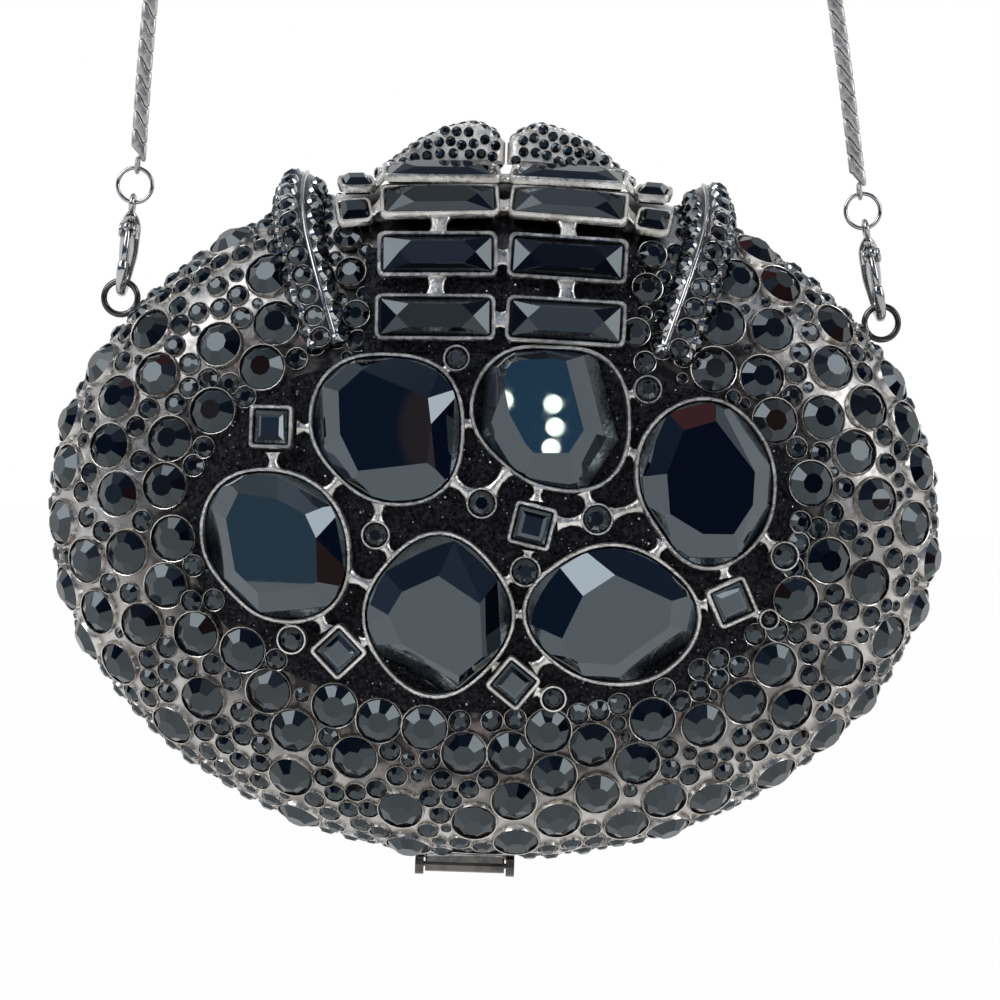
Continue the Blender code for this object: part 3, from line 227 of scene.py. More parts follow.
# Large stones: middle, reach at every eighth of a turn, and the table's corners on the photograph
LARGE_STONES = {
    "stone_upper_left": (
        (-19.9, 14.8),
        (14.2, 15.2, 14.0, 15.2, 14.2, 12.7, 13.8, 15.4),
        [(362, 370), (428, 398), (431, 424), (427, 463), (358, 471), (340, 434), (331, 398)],
    ),
    "stone_upper_middle": (
        (9.6, 18.1),
        (14.7, 14.9, 12.9, 14.9, 14.7, 12.5, 13.4, 16.0),
        [
            (506, 369), (495, 387), (513, 431), (534, 453), (576, 453),
            (602, 444), (603, 401), (599, 375), (566, 361), (523, 354),
        ],
    ),
    "stone_right": (
        (38.1, 6.7),
        (12.9, 13.8, 16.0, 15.0, 13.1, 12.5, 15.6, 14.2),
        [(674, 433), (716, 421), (755, 472), (753, 505), (730, 540), (703, 534), (670, 514), (667, 474)],
    ),
    "stone_left": (
        (-39.2, -6.7),
        (13.8, 13.6, 14.0, 15.4, 13.8, 12.2, 14.0, 15.6),
        [
            (238, 493), (277, 499), (303, 510), (316, 538), (317, 582),
            (298, 591), (258, 593), (235, 571), (220, 531),
        ],
    ),
    "stone_lower_left": (
        (-9.6, -18.4),
        (14.2, 13.8, 15.4, 13.6, 13.8, 13.8, 15.2, 13.6),
        [(431, 571), (402, 592), (388, 615), (418, 678), (462, 678), (483, 667), (483, 606)],
    ),
    "stone_lower_right": (
        (22.0, -17.0),
        (16.2, 13.4, 12.9, 13.6, 16.5, 14.0, 13.2, 14.7),
        [(615, 575), (672, 601), (669, 630), (650, 658), (616, 665), (571, 662), (557, 625), (583, 596)],
    ),
}
SQUARE_STONES = {
    "square_upper_left": ((-40.7, 14.5), 8.0, 0.0),
    "square_middle": ((7.0, -1.7), 8.0, -12.0),
    "square_lower_left": ((-27.2, -25.4), 7.8, 45.0),
    "square_lower_middle": ((4.5, -30.0), 7.6, -38.0),
    "square_right": ((43.4, -14.2), 7.8, 25.0),
}
ROUND_STONES = {
    "round_a": ((-2.3, 2.1), 2.9),
    "round_b": ((-21.3, -4.3), 2.7),
    "round_c": ((18.7, -0.1), 3.0),
    "round_d": ((6.0, -10.0), 2.9),
    "round_e": ((-35.8, -23.5), 2.8),
    "round_f": ((52.6, -5.6), 2.8),
    "round_g": ((50.2, -17.0), 2.0),
    "round_h": ((11.8, -32.6), 2.5),
    "round_i": ((27.0, 23.5), 2.7),
    "round_j": ((-7.7, 28.0), 2.5),
}
BRIDGES = [
    ("stone_upper_left", "stone_upper_middle"),
    ("stone_upper_middle", "stone_right"),
    ("stone_upper_left", "stone_left"),
    ("stone_left", "stone_lower_left"),
    ("stone_lower_left", "stone_lower_right"),
    ("stone_lower_right", "stone_right"),
    ("square_upper_left", "stone_upper_left"),
    ("square_upper_left", "stone_left"),
    ("square_middle", "stone_upper_middle"),
    ("square_middle", "round_c"),
    ("square_middle", "round_d"),
    ("square_lower_left", "stone_left"),
    ("square_lower_left", "stone_lower_left"),
    ("square_lower_middle", "stone_lower_left"),
    ("square_lower_middle", "stone_lower_right"),
    ("square_right", "stone_right"),
    ("square_right", "stone_lower_right"),
    ("round_a", "stone_upper_left"),
    ("round_a", "stone_upper_middle"),
    ("round_b", "stone_upper_left"),
    ("round_b", "stone_lower_left"),
    ("round_c", "stone_upper_middle"),
    ("round_c", "stone_right"),
    ("round_d", "stone_lower_left"),
    ("round_e", "stone_left"),
    ("round_f", "stone_right"),
    ("round_g", "square_right"),
    ("round_h", "square_lower_middle"),
    ("round_i", "stone_upper_middle"),
    ("round_j", "stone_upper_left"),
]

# Baguettes: share of the half height, standoff from the dome, tilt up and droop outward of each row
BAGUETTE_SIZE = (22.0, 8.6)
BAGUETTE_COLUMN = 11.9
BAGUETTE_ROWS = {
    "low": (0.551, 1.4, 6.0, 1.5),
    "middle": (0.728, 2.2, 12.0, 2.0),
    "high": (0.876, 1.6, 44.0, 4.0),
    "top": (0.961, 2.4, 68.0, 4.5),
}
FLANK_SIDE = 6.8
FLANK_COLUMN = 27.7
FLANK_ROWS = {"high": (0.836, -1.15, 46.0, 10.0), "top": (0.922, -2.25, 67.0, 10.0)}

# Ridges over the shoulders
RIDGE_TOP = (37.4, 8.0)
RIDGE_END = (31.5, 30.0)
RIDGE_WIDTHS = (8.8, 7.6)
RIDGE_RISES = (6.2, 2.2)
COLUMN_TURNS = (-9.0, 66.0)
COLUMN_END = 0.4
COLUMN_GAP = 0.05
CREST_TURN = 29.0
CREST_WIRE = 0.5
RIDGE_TRIED = 6000
RIDGE_SCALES = (0.8, 0.6, 0.45)
RIDGE_LEAST_RISE = 0.55
RIDGE_LEAST_FACING = -0.1
RIDGE_FRONT = -1.2
RIDGE_KNEE = 0.5
END_LIFT = 0.45
END_SPREAD = 0.55
END_LEAN = 0.6
END_SCALE = 0.8

# Glitter sheet
PANEL_HALF_WIDTH = 56.0
PANEL_DROP = 36.0
PANEL_SHOULDER = 29.0
PANEL_POWER = 2.4
PANEL_NECK = 25.0
PANEL_TOP = 48.0
PANEL_LIFT = 1.1
PANEL_THICK = 0.6
PANEL_AROUND = 96
PANEL_STEPS = 25
NECK_STEPS = 17
NECK_GAP = 0.6
GRAINS_TRIED = 11000
GRAIN_EDGE = (0.98, 0.4)
GRAIN_LIFT = 0.05
GRAIN_LEAN = 16.0
GRAIN_SIZES = (0.15, 0.33)
GRAIN_SIDES = 5
GRAIN_LEVELS = [(1.0, 0.0), (0.7, 0.5)]

# Round stones of the field: radius of the stone and of its cup, and the rings of large ones on the back
LARGE_ROUND = (4.05, 4.5)
SMALL_ROUND = (1.9, 2.2)
PAVE_ROUND = (0.96, 1.06)
RIDGE_SCALE = 0.92
FILL_SCALES = (0.7, 0.5)
BACK_RINGS = (0.0, 0.185, 0.37, 0.54, 0.695, 0.83, 0.94)
FIELD_TRIED = 50000
EDGE_CROWDING = 1.3
SEAM_SHARE = 0.9
OVERLAP = 0.87
FLANK_LIFT = 1.2

# Room that round stones keep: half widths, heights and depths of what they go round
SEAM_ROOM = 0.1
HINGE_ROOM = (10.5, -60.0, 6.0)
FOOT_PLACE = 10.4
FOOT_ROOM = (3.5, 55.0, 3.2)
LUG_ROOM = 2.6
PANEL_ROOM = 0.03
EDGE_ROOM = 0.06
BAGUETTE_ROOM = [(23.3, 24.0), (31.5, 49.5)]
RIDGE_ROOM = 3.0

# Places of the large round stones on the photograph, in pixels
LARGE_PLACES = [
    (152, 331), (158, 375), (119, 398), (220, 345), (215, 412), (269, 276), (277, 324), (264, 369),
    (103, 365), (111, 446), (171, 439), (168, 486), (119, 494), (176, 538), (128, 552), (167, 585),
    (88, 560), (69, 467), (64, 522), (64, 581), (100, 611), (143, 624), (199, 632), (245, 648),
    (121, 662), (204, 697), (269, 690), (89, 642), (174, 723), (209, 771), (336, 703), (294, 729),
    (380, 718), (355, 756), (425, 725), (464, 752), (292, 775), (401, 808), (300, 812), (342, 833),
    (409, 842), (510, 752), (548, 728), (592, 744), (554, 774), (637, 762), (597, 792), (514, 799),
    (474, 820), (558, 818), (626, 822), (516, 839), (598, 847), (552, 853), (651, 717), (703, 724),
    (744, 701), (774, 664), (790, 708), (842, 664), (664, 798), (709, 796), (774, 771), (825, 733),
    (730, 811), (854, 452), (808, 484), (875, 500), (825, 560), (868, 582), (793, 598), (912, 524),
    (886, 636), (918, 469), (904, 424), (928, 576), (915, 609), (779, 286), (771, 331), (761, 378),
    (831, 368), (772, 422), (822, 418), (866, 408), (833, 326), (890, 382), (755, 252), (737, 281),
    (722, 325), (713, 370), (786, 248), (810, 276), (861, 323), (146, 304), (232, 243),
]

# Places of the small round stones on the photograph
SMALL_PLACES = [
    (179, 307), (199, 313), (221, 309), (181, 325), (242, 318), (175, 346), (190, 364), (190, 388),
    (209, 379), (230, 384), (176, 404), (149, 409), (124, 362), (203, 277), (218, 287), (238, 296),
    (196, 292), (183, 287), (165, 297), (221, 263), (232, 274), (242, 255), (297, 359), (247, 398),
    (278, 231), (278, 247), (262, 244), (137, 427), (91, 421), (82, 438), (141, 461), (206, 448),
    (196, 466), (91, 473), (83, 492), (88, 517), (103, 531), (143, 521), (110, 583), (130, 593),
    (196, 565), (206, 582), (194, 600), (216, 599), (230, 613), (149, 658), (167, 647), (150, 678),
    (168, 671), (188, 668), (213, 664), (232, 680), (133, 692), (150, 697), (168, 692), (241, 711),
    (262, 722), (204, 731), (222, 725), (243, 735), (226, 744), (262, 744), (191, 750), (209, 751),
    (240, 759), (261, 762), (224, 766), (241, 776), (260, 780), (278, 658), (294, 667), (299, 693),
    (329, 736), (319, 756), (325, 776), (390, 750), (409, 758), (430, 759), (397, 775), (417, 780),
    (442, 779), (377, 788), (356, 791), (335, 792), (315, 798), (272, 797), (349, 808), (369, 808),
    (330, 812), (430, 797), (452, 798), (440, 814), (428, 829), (446, 835), (361, 823), (380, 830),
    (442, 848), (460, 719), (492, 719), (515, 717), (578, 712), (598, 709), (618, 702), (616, 721),
    (469, 788), (488, 778), (590, 828), (483, 845), (571, 842), (717, 657), (737, 665), (716, 677),
    (698, 668), (680, 675), (698, 689), (679, 699), (663, 687), (741, 736), (763, 730), (668, 748),
    (685, 755), (707, 760), (725, 751), (758, 751), (779, 744), (799, 737), (670, 768), (689, 775),
    (723, 771), (744, 764), (739, 782), (809, 675), (809, 653), (821, 691), (823, 711), (841, 698),
    (796, 448), (820, 453), (844, 488), (833, 512), (817, 528), (847, 530), (798, 522), (796, 543),
    (791, 567), (884, 536), (863, 547), (893, 558), (909, 564), (901, 586), (834, 594), (822, 612),
    (849, 610), (870, 616), (892, 610), (753, 633), (775, 629), (796, 633), (815, 633), (841, 629),
    (860, 632), (883, 436), (899, 451), (886, 464), (901, 474), (908, 492), (930, 499), (803, 313),
    (809, 333), (801, 353), (796, 373), (792, 396), (743, 353), (863, 373), (856, 354), (868, 360),
    (812, 299), (861, 341),
]

# Rounds beside the baguettes, with radii in millimetres
FLANK_ROUNDS = [
    ((349, 240), 2.5),
    ((352, 275), 2.7),
    ((357, 316), 2.4),
    ((651, 258), 2.5),
    ((646, 291), 2.7),
    ((635, 334), 2.5),
]

# Spots of the room that stones show: direction, half width in degrees, colour
SPOTS = [
    ((0.035, -1.0, 0.095), 3.0, (0.14, 0.34, 0.56)),
    ((-0.058, -1.0, 0.080), 1.2, (0.17, 0.12, 0.12)),
    ((0.30, -0.90, 0.16), 6.0, (0.15, 0.06, 0.05)),
    ((-0.45, -0.80, 0.40), 8.0, (0.16, 0.07, 0.06)),
    ((0.85, -0.45, 0.10), 9.0, (0.15, 0.07, 0.06)),
    ((-0.12, -0.04, 0.99), 6.0, (0.36, 0.12, 0.11)),
    ((0.14, -0.02, 0.99), 4.0, (5.0, 5.0, 4.6)),
    ((-0.30, -0.25, 0.92), 9.0, (2.6, 2.65, 2.7)),
]

# Lamps of the room that the upper middle stone shows, by pixels of the photograph
LAMP_PIXELS = [(553, 404), (555, 427), (551, 448), (504, 400), (600, 408)]
LAMP_HALF_WIDTH = 0.17
LAMP_LIGHT = (12.0, 12.0, 9.5)

# Room that the stones show, from its pale sides to the dark in front of the bag
ROOM_SIDES = (0.95, 0.97, 1.0, 1.0)
ROOM_ABOVE = (0.38, 0.42, 0.46, 1.0)
ROOM_RIGHT = (0.46, 0.49, 0.53, 1.0)
DEEP_LEFT = (0.020, 0.050, 0.110, 1.0)
DEEP_RIGHT = (0.006, 0.020, 0.060, 1.0)
DEEP_LOW = (0.20, 0.34, 0.46, 1.0)
DEEP_HIGH = (0.060, 0.090, 0.160, 1.0)
DEEP_BAND = (0.42, 0.46, 0.50, 1.0)
WHITE = (1.0, 1.0, 1.0, 1.0)

# Softboxes: place, size and power, all aimed at the bag
SOFTBOXES = {
    "window": ((-0.9, -0.8, 0.75), (0.9, 0.9), 10.5),
    "fill": ((1.1, -0.7, 0.35), (0.6, 0.8), 6.0),
}
SOFTBOX_AIM = (0.0, 0.0, -0.17)

# Floor
FLOOR_SIZE = (12.0, 10.0, 1.0)
FLOOR_PLACE = (0.0, 8.3, -0.32)
FLOOR_PAPER = (0.86, 0.86, 0.86, 1.0)
FLOOR_ROUGH = 0.7
FLOOR_GLOW = 0.98

# The camera: millimetres to a pixel at its distance from the seam, its roll, and its place
HALF_PICTURE = 500
PIXEL = 0.19
FAR = 600.0
ROLL = math.radians(1.9)
CAMERA = np.array((1.0005, -FAR, 2.7897))
CLIP_START = 0.01

# Rounds of the searches for places on the dome
DOME_ROUNDS = 12
PIXEL_ROUNDS = 20
PIXEL_SLACK = 1.02


def to_world(points):
    return (np.asarray(points, dtype=float) - np.array((0.0, LOOP_BACK, STRAP_TOP))) * MM


def pixel_ray(px, py):
    """Direction of a pixel's ray from the camera, with a unit of depth."""
    u = (px - HALF_PICTURE) * PIXEL / FAR
    v = (HALF_PICTURE - py) * PIXEL / FAR
    return np.array((u * math.cos(ROLL) - v * math.sin(ROLL), 1.0, u * math.sin(ROLL) + v * math.cos(ROLL)))


def full_turn(count):
    """Angles at even steps round a circle."""
    return np.linspace(0, 2 * math.pi, count, endpoint=False)


def unit(way):
    return way / np.linalg.norm(way)


def units(ways):
    return ways / np.linalg.norm(ways, axis=1)[:, None]


def run_along(line):
    """How far along a line each of its points lies."""
    return np.concatenate([[0.0], np.cumsum(np.linalg.norm(np.diff(line, axis=0), axis=1))])


# Node helpers


class Nodes:
    """A node tree with short ways to add, feed and link."""

    def __init__(self, tree):
        self.tree = tree

    def add(self, kind, inputs=None, **settings):
        made = self.tree.nodes.new(kind)
        for key, value in settings.items():
            setattr(made, key, value)
        for key, value in (inputs or {}).items():
            self.feed(made.inputs[key], value)
        return made

    def feed(self, socket, value):
        if isinstance(value, bpy.types.NodeSocket):
            self.tree.links.new(value, socket)
        else:
            socket.default_value = value

    def math(self, operation, a, b=0.0):
        return self.add("ShaderNodeMath", {0: a, 1: b}, operation=operation).outputs[0]

    def span(self, value, low, high, to_low=0.0, to_high=1.0):
        """Smooth step from one range to another."""
        kind = "SMOOTHSTEP"
        inputs = {"Value": value, "From Min": low, "From Max": high, "To Min": to_low, "To Max": to_high}
        return self.add("ShaderNodeMapRange", inputs, interpolation_type=kind).outputs["Result"]

    def mix(self, share, a, b):
        inputs = {0: share, 6: a, 7: b}
        return self.add("ShaderNodeMix", inputs, data_type="RGBA").outputs[2]

    def seen(self):
        """1 for rays from the camera and for those that metal and glass send on."""
        path = self.add("ShaderNodeLightPath").outputs
        sent_on = self.math("MAXIMUM", path["Is Glossy Ray"], path["Is Transmission Ray"])
        return self.math("MAXIMUM", path["Is Camera Ray"], sent_on)

    def ramp(self, value, stops):
        made = self.add("ShaderNodeValToRGB", {"Fac": value})
        points = made.color_ramp.elements
        while len(points) < len(stops):
            points.new(0.5)
        for point, (place, colour) in zip(points, stops):
            point.position = place
            point.color = (*colour, 1.0)
        return made.outputs["Color"]


class Finish(Nodes):
    """One procedural material."""

    def __init__(self, name, **constants):
        self.material = bpy.data.materials.new(name)
        self.material.use_nodes = True
        super().__init__(self.material.node_tree)
        self.shader = self.tree.nodes["Principled BSDF"]
        self.place = self.add("ShaderNodeTexCoord").outputs["Object"]
        for key, value in constants.items():
            self.shader.inputs[key.replace("_", " ")].default_value = value

    def noise(self, scale, detail=2.0):
        inputs = {"Vector": self.place, "Scale": scale, "Detail": detail}
        return self.add("ShaderNodeTexNoise", inputs).outputs["Fac"]

    def island(self):
        """A random value for each separate lump of the mesh."""
        return self.add("ShaderNodeNewGeometry").outputs["Random Per Island"]

    def colour(self, value):
        self.feed(self.shader.inputs["Base Color"], value)

    def rough(self, value):
        self.feed(self.shader.inputs["Roughness"], value)

    def uneven(self, scale, low, high):
        """Roughness that wanders between two values."""
        self.rough(self.span(self.noise(scale), 0.3, 0.7, low, high))

    def bump(self, height, strength, distance):
        inputs = {"Height": height, "Strength": strength, "Distance": distance}
        made = self.add("ShaderNodeBump", inputs)
        self.feed(self.shader.inputs["Normal"], made.outputs["Normal"])


def metal(name, light, dark, wear, rough, grain, grain_size):
    """Plated metal: light and dark patches, brown wear in specks, and a cast grain."""
    made = Finish(name, Metallic=1.0)
    patches = made.ramp(made.noise(140.0, 3.0), [(0.36, dark), (0.58, light)])
    specks = made.ramp(made.noise(420.0, 2.0), [(0.60, (0, 0, 0)), (0.72, (wear[3],) * 3)])
    made.colour(made.mix(specks, patches, (*wear[:3], 1.0)))
    made.uneven(900.0, rough * 0.75, rough * 1.3)
    made.bump(made.noise(grain_size, 3.0), grain, 0.0002)
    return made.material


def shell_metal():
    """Plated shell: pale satin round the edge, near the seam and on the back as painted light, dark towards
    the panel and round the baguettes as painted shade, with random brownish specks in the dark.
    """
    made = Finish("shell_plate", Metallic=1.0)
    parts = made.add("ShaderNodeSeparateXYZ", {"Vector": made.place})
    across = made.math("DIVIDE", parts.outputs["X"], HALF_WIDTH * MM)
    height = made.math("ADD", parts.outputs["Z"], STRAP_TOP * MM)
    up = made.math("DIVIDE", height, HALF_HEIGHT * MM)
    reach = made.math("SQRT", made.math("ADD", made.math("POWER", across, 2.0), made.math("POWER", up, 2.0)))
    wavy = made.math("ADD", reach, made.math("MULTIPLY", made.noise(60.0, 2.0), 0.16))
    # Painted light: the outer edge and the part near the seam, and so the whole back, get the pale colour.
    outer = made.span(wavy, 0.78, 1.0)
    front = made.span(parts.outputs["Y"], -0.012, 0.0)
    share = made.math("MAXIMUM", outer, front)
    # Painted shade: on the front, the upper middle round and under the baguettes stays dark even at the edge.
    aside = made.span(made.math("ABSOLUTE", parts.outputs["X"]), 0.027, 0.031)
    below = made.span(height, 0.036, 0.028)
    share = made.math("MULTIPLY", share, made.math("MAXIMUM", front, made.math("MAXIMUM", aside, below)))
    # Dark painted shade with random brownish specks, and pale painted light, mixed by the share above.
    dark = made.ramp(made.noise(420.0, 2.0), [(0.42, (0.030, 0.029, 0.030)), (0.66, (0.16, 0.135, 0.125))])
    pale = made.ramp(made.noise(170.0, 3.0), [(0.35, (0.36, 0.35, 0.34)), (0.6, (0.58, 0.565, 0.55))])
    made.colour(made.mix(share, dark, pale))
    made.uneven(700.0, 0.26, 0.42)
    made.bump(made.noise(1400.0, 2.0), 0.15, 0.0002)
    return made.material


def crystal(name, index, level, sheen, deep, tint):
    """Jet glass, with a slightly different tint in every stone, and a painted reflection that lightens some
    facets at random.
    """
    made = Finish(name, IOR=index, Specular_IOR_Level=level, Specular_Tint=(*sheen, 1.0))
    painted_glint = made.add("ShaderNodeAttribute", attribute_name=FACET_GLINT).outputs["Fac"]
    smoky = made.math("ADD", made.island(), made.math("MULTIPLY", made.noise(60.0), 0.2))
    body = made.ramp(smoky, [(0.15, deep), (0.6, (0.002, 0.0025, 0.004)), (1.0, tint)])
    # Painted reflection: facets with a high glint value are lightened towards grey-blue.
    made.colour(made.mix(made.span(painted_glint, 0.6, 1.0, 0.0, 0.8), body, (0.022, 0.027, 0.036, 1.0)))
    made.uneven(500.0, 0.004, 0.016)
    return made.material


def glitter_sheet():
    """Black backing with fine grains in it."""
    made = Finish("glitter_backing", Specular_IOR_Level=0.12)
    cells = made.add("ShaderNodeTexVoronoi", {"Vector": made.place, "Scale": 1900.0}).outputs
    made.colour(made.ramp(cells["Color"], [(0.3, (0.003, 0.003, 0.005)), (0.95, (0.03, 0.03, 0.035))]))
    made.uneven(800.0, 0.6, 0.85)
    made.bump(cells["Distance"], 0.5, 0.0003)
    return made.material


def glitter_flake():
    """Single grains, some of them mirror bright."""
    made = Finish("glitter_grain", Metallic=0.9)
    stops = [(0.6, (0.008, 0.008, 0.012)), (0.9, (0.06, 0.06, 0.07)), (1.0, (0.45, 0.45, 0.48))]
    made.colour(made.ramp(made.island(), stops))
    made.uneven(900.0, 0.2, 0.4)
    return made.material


def satin():
    """Black lining satin with a fine weave, and patches of painted shade for soft folds."""
    made = Finish("lining_satin", Sheen_Weight=0.4, Sheen_Roughness=0.35)
    wave = {"Vector": made.place, "Scale": 900.0, "Distortion": 0.6}
    threads = made.add("ShaderNodeTexWave", wave, bands_direction="X").outputs["Fac"]
    fold_shade = made.noise(70.0, 3.0)
    # Painted shade: the colour goes from black to a little less black in soft patches, as folds would show
    # under light.
    made.colour(made.ramp(fold_shade, [(0.3, (0.008, 0.008, 0.009)), (0.7, (0.022, 0.022, 0.025))]))
    made.rough(made.span(threads, 0.0, 1.0, 0.32, 0.5))
    made.bump(threads, 0.15, 0.0001)
    return made.material


# Plated metals: light and dark colour, wear with its strength, roughness, grain and how fine it is
PLATES = {
    "bright_plate": ((0.80, 0.78, 0.75), (0.50, 0.48, 0.45), (0.26, 0.17, 0.13, 0.4), 0.34, 0.7, 1300.0),
    "cup_plate": ((0.68, 0.66, 0.63), (0.40, 0.38, 0.36), (0.20, 0.12, 0.09, 0.5), 0.28, 0.3, 1500.0),
    "clasp_plate": ((0.48, 0.48, 0.48), (0.34, 0.34, 0.34), (0.20, 0.17, 0.15, 0.3), 0.14, 0.06, 900.0),
    "chain_plate": ((0.54, 0.53, 0.51), (0.42, 0.41, 0.40), (0.14, 0.13, 0.12, 0.35), 0.42, 0.12, 900.0),
    # The tabs' plate is a paler copy of the same gunmetal, lightened as painted light for the lamp light the
    # tabs catch.
    "tab_plate": ((0.88, 0.86, 0.83), (0.62, 0.60, 0.57), (0.30, 0.20, 0.15, 0.3), 0.5, 0.7, 1300.0),
    "dark_plate": ((0.15, 0.145, 0.14), (0.06, 0.057, 0.056), (0.16, 0.09, 0.06, 0.5), 0.22, 0.10, 900.0),
}
BRIGHT, CUP_METAL, CLASP, CHAIN, TAB_METAL, DARK = (metal(name, *row) for name, row in PLATES.items())
SHELL = shell_metal()
INK = (0.001, 0.0015, 0.003)
JET = crystal("jet_glass", 1.75, 0.4, (0.80, 0.93, 1.0), INK, (0.005, 0.003, 0.003))
CUT_JET = crystal("cut_jet_glass", 2.0, 0.5, (0.76, 0.90, 1.0), INK, (0.002, 0.003, 0.005))
GLITTER = glitter_sheet()
GRAINS = glitter_flake()
SATIN = satin()


# Mesh helpers


class Pile:
    """Points and faces that become one piece."""

    def __init__(self):
        self.points = []
        self.faces = []
        self.count = 0

    def add(self, points, faces):
        points = np.asarray(points, dtype=float).reshape(-1, 3)
        start = self.count
        self.points.append(points)
        self.faces += [tuple(i + start for i in face) for face in faces]
        self.count += len(points)

    def make(self, name, material, body, slot, replaces=(), smooth=None):
        """The piece, on its body; smooth is the sharpest angle in degrees that still shades smooth."""
        mesh = bpy.data.meshes.new(name)
        mesh.from_pydata(to_world(np.concatenate(self.points)).tolist(), [], self.faces)
        shape = bmesh.new()
        shape.from_mesh(mesh)
        bmesh.ops.recalc_face_normals(shape, faces=shape.faces)
        shape.to_mesh(mesh)
        shape.free()
        if smooth is not None:
            mesh.shade_smooth()
            mesh.set_sharp_from_angle(angle=math.radians(smooth))
        if material in (JET, CUT_JET):
            # Random glint values for the painted reflection on the facets, a fixed one on tables.
            values = [TABLE_GLINT if p.area > TABLE_AREA else glint_dice.random() for p in mesh.polygons]
            mesh.attributes.new(FACET_GLINT, "FLOAT", "FACE").data.foreach_set("value", values)
        mesh.materials.append(material)
        obj = bpy.data.objects.new(name, mesh)
        bpy.context.scene.collection.objects.link(obj)
        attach(obj, body)
        if replaces:
            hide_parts(*replaces)
        return obj


def quads(count, around, loop):
    """Faces between rings of points; a loop joins the last ring to the first."""
    faces = []
    for k in range(count if loop else count - 1):
        n = (k + 1) % count
        for j in range(around):
            m = (j + 1) % around
            faces.append((k * around + j, k * around + m, n * around + m, n * around + j))
    return faces


def loft(pile, rings, loop=False, capped=True):
    """A skin over rings of points, closed at its ends or joined to itself."""
    rings = np.asarray(rings, dtype=float)
    count, around = rings.shape[:2]
    faces = quads(count, around, loop)
    if capped and not loop:
        faces.append(tuple(range(around))[::-1])
        faces.append(tuple(range((count - 1) * around, count * around)))
    pile.add(rings, faces)


def smooth_through(points, steps, closed=False):
    """Points of a Catmull-Rom curve through the given ones."""
    points = [np.asarray(p, dtype=float) for p in points]
    count = len(points)
    made = []
    for i in range(count if closed else count - 1):
        if closed:
            p0, p1, p2, p3 = (points[(i + k) % count] for k in (-1, 0, 1, 2))
        else:
            p1, p2 = points[i], points[i + 1]
            p0 = points[i - 1] if i else 2 * p1 - p2
            p3 = points[i + 2] if i + 2 < count else 2 * p2 - p1
        for t in np.arange(steps) / steps:
            bend = (2 * p0 - 5 * p1 + 4 * p2 - p3) * t**2 + (3 * p1 - p0 - 3 * p2 + p3) * t**3
            made.append(0.5 * (2 * p1 + (p2 - p0) * t + bend))
    if not closed:
        made.append(points[-1])
    return np.array(made)


def torus(pile, centre, first, second, radius, wire, around=48, sides=12):
    """A wire ring in the plane of first and second."""
    third = np.cross(first, second)
    rings = []
    for turn in full_turn(around):
        out = math.cos(turn) * first + math.sin(turn) * second
        ring = []
        for roll in full_turn(sides):
            ring.append(centre + out * (radius + wire * math.cos(roll)) + third * wire * math.sin(roll))
        rings.append(ring)
    loft(pile, rings, loop=True)


def lathe(profile, sides):
    """Points and faces of a ring with a turned profile of (radius, height)."""
    points = [(r * math.cos(t), r * math.sin(t), h) for r, h in profile for t in full_turn(sides)]
    return np.array(points), quads(len(profile), sides, loop=True)


def seated(seat, local):
    """Local (right, up, out) points at their seat."""
    right, up, out, origin = seat
    return origin + np.asarray(local) @ np.array((right, up, out))


# The dome


def oval_top(x):
    """Height of the oval's edge at a place across."""
    return HALF_HEIGHT * math.sqrt(1 - (x / HALF_WIDTH) ** 2)


def dome_slope(points, side):
    """How far outside a shell points lie, and the directions that lead out."""
    x, y, z = points.T
    depth = DEPTH[side]
    reach = np.maximum(np.hypot(x / HALF_WIDTH, z / HALF_HEIGHT), 1e-6)
    deep = (side * y - SEAM / 2) / depth
    pull = DOME_POWER * reach ** (DOME_POWER - 2)
    slope = np.column_stack((pull * x / HALF_WIDTH**2, side * 2 * deep / depth, pull * z / HALF_HEIGHT**2))
    return reach**DOME_POWER + deep**2 - 1, slope


def onto_dome(points, side, lift=0.0):
    """Points pulled onto a shell along its normal and lifted off it, and the normals."""
    points = np.atleast_2d(np.asarray(points, dtype=float))
    for _ in range(DOME_ROUNDS):
        value, slope = dome_slope(points, side)
        points = points - (value / (slope**2).sum(1))[:, None] * slope
    normals = units(dome_slope(points, side)[1])
    return points + normals * lift, normals


def dome_at(x, z, side=FRONT):
    """Points of a shell at places in the oval."""
    reach = np.minimum(np.hypot(x / HALF_WIDTH, z / HALF_HEIGHT), 1.0)
    y = side * (SEAM / 2 + DEPTH[side] * np.sqrt(1 - reach**DOME_POWER))
    return np.column_stack((x, y, z)) if np.ndim(x) else np.array((x, y, z))


def dome_round(reach, turns, side):
    """Points of a shell at shares of its half width and height, and the normals."""
    x, z = HALF_WIDTH * reach * np.cos(turns), HALF_HEIGHT * reach * np.sin(turns)
    return onto_dome(dome_at(x, z, side), side)


def over_front(x, z, lift=0.0):
    """Points lifted off the front shell at places in the oval, and the normals."""
    return onto_dome(dome_at(x, z), FRONT, lift)


def frame_of(normal, turn=0.0):
    """Right and up at a normal, turned about it."""
    right = X_AXIS - normal[0] * normal
    if np.linalg.norm(right) < 0.3:
        right = Y_AXIS - normal[1] * normal
    right = unit(right)
    up = np.cross(normal, right)
    c, s = math.cos(turn), math.sin(turn)
    return c * right + s * up, c * up - s * right


def seat_on_front(x, z, turn=0.0):
    """Right, up, out and origin of a seat on the front shell, turned by degrees."""
    origins, outs = over_front(x, z)
    return *frame_of(outs[0], math.radians(turn)), outs[0], origins[0]


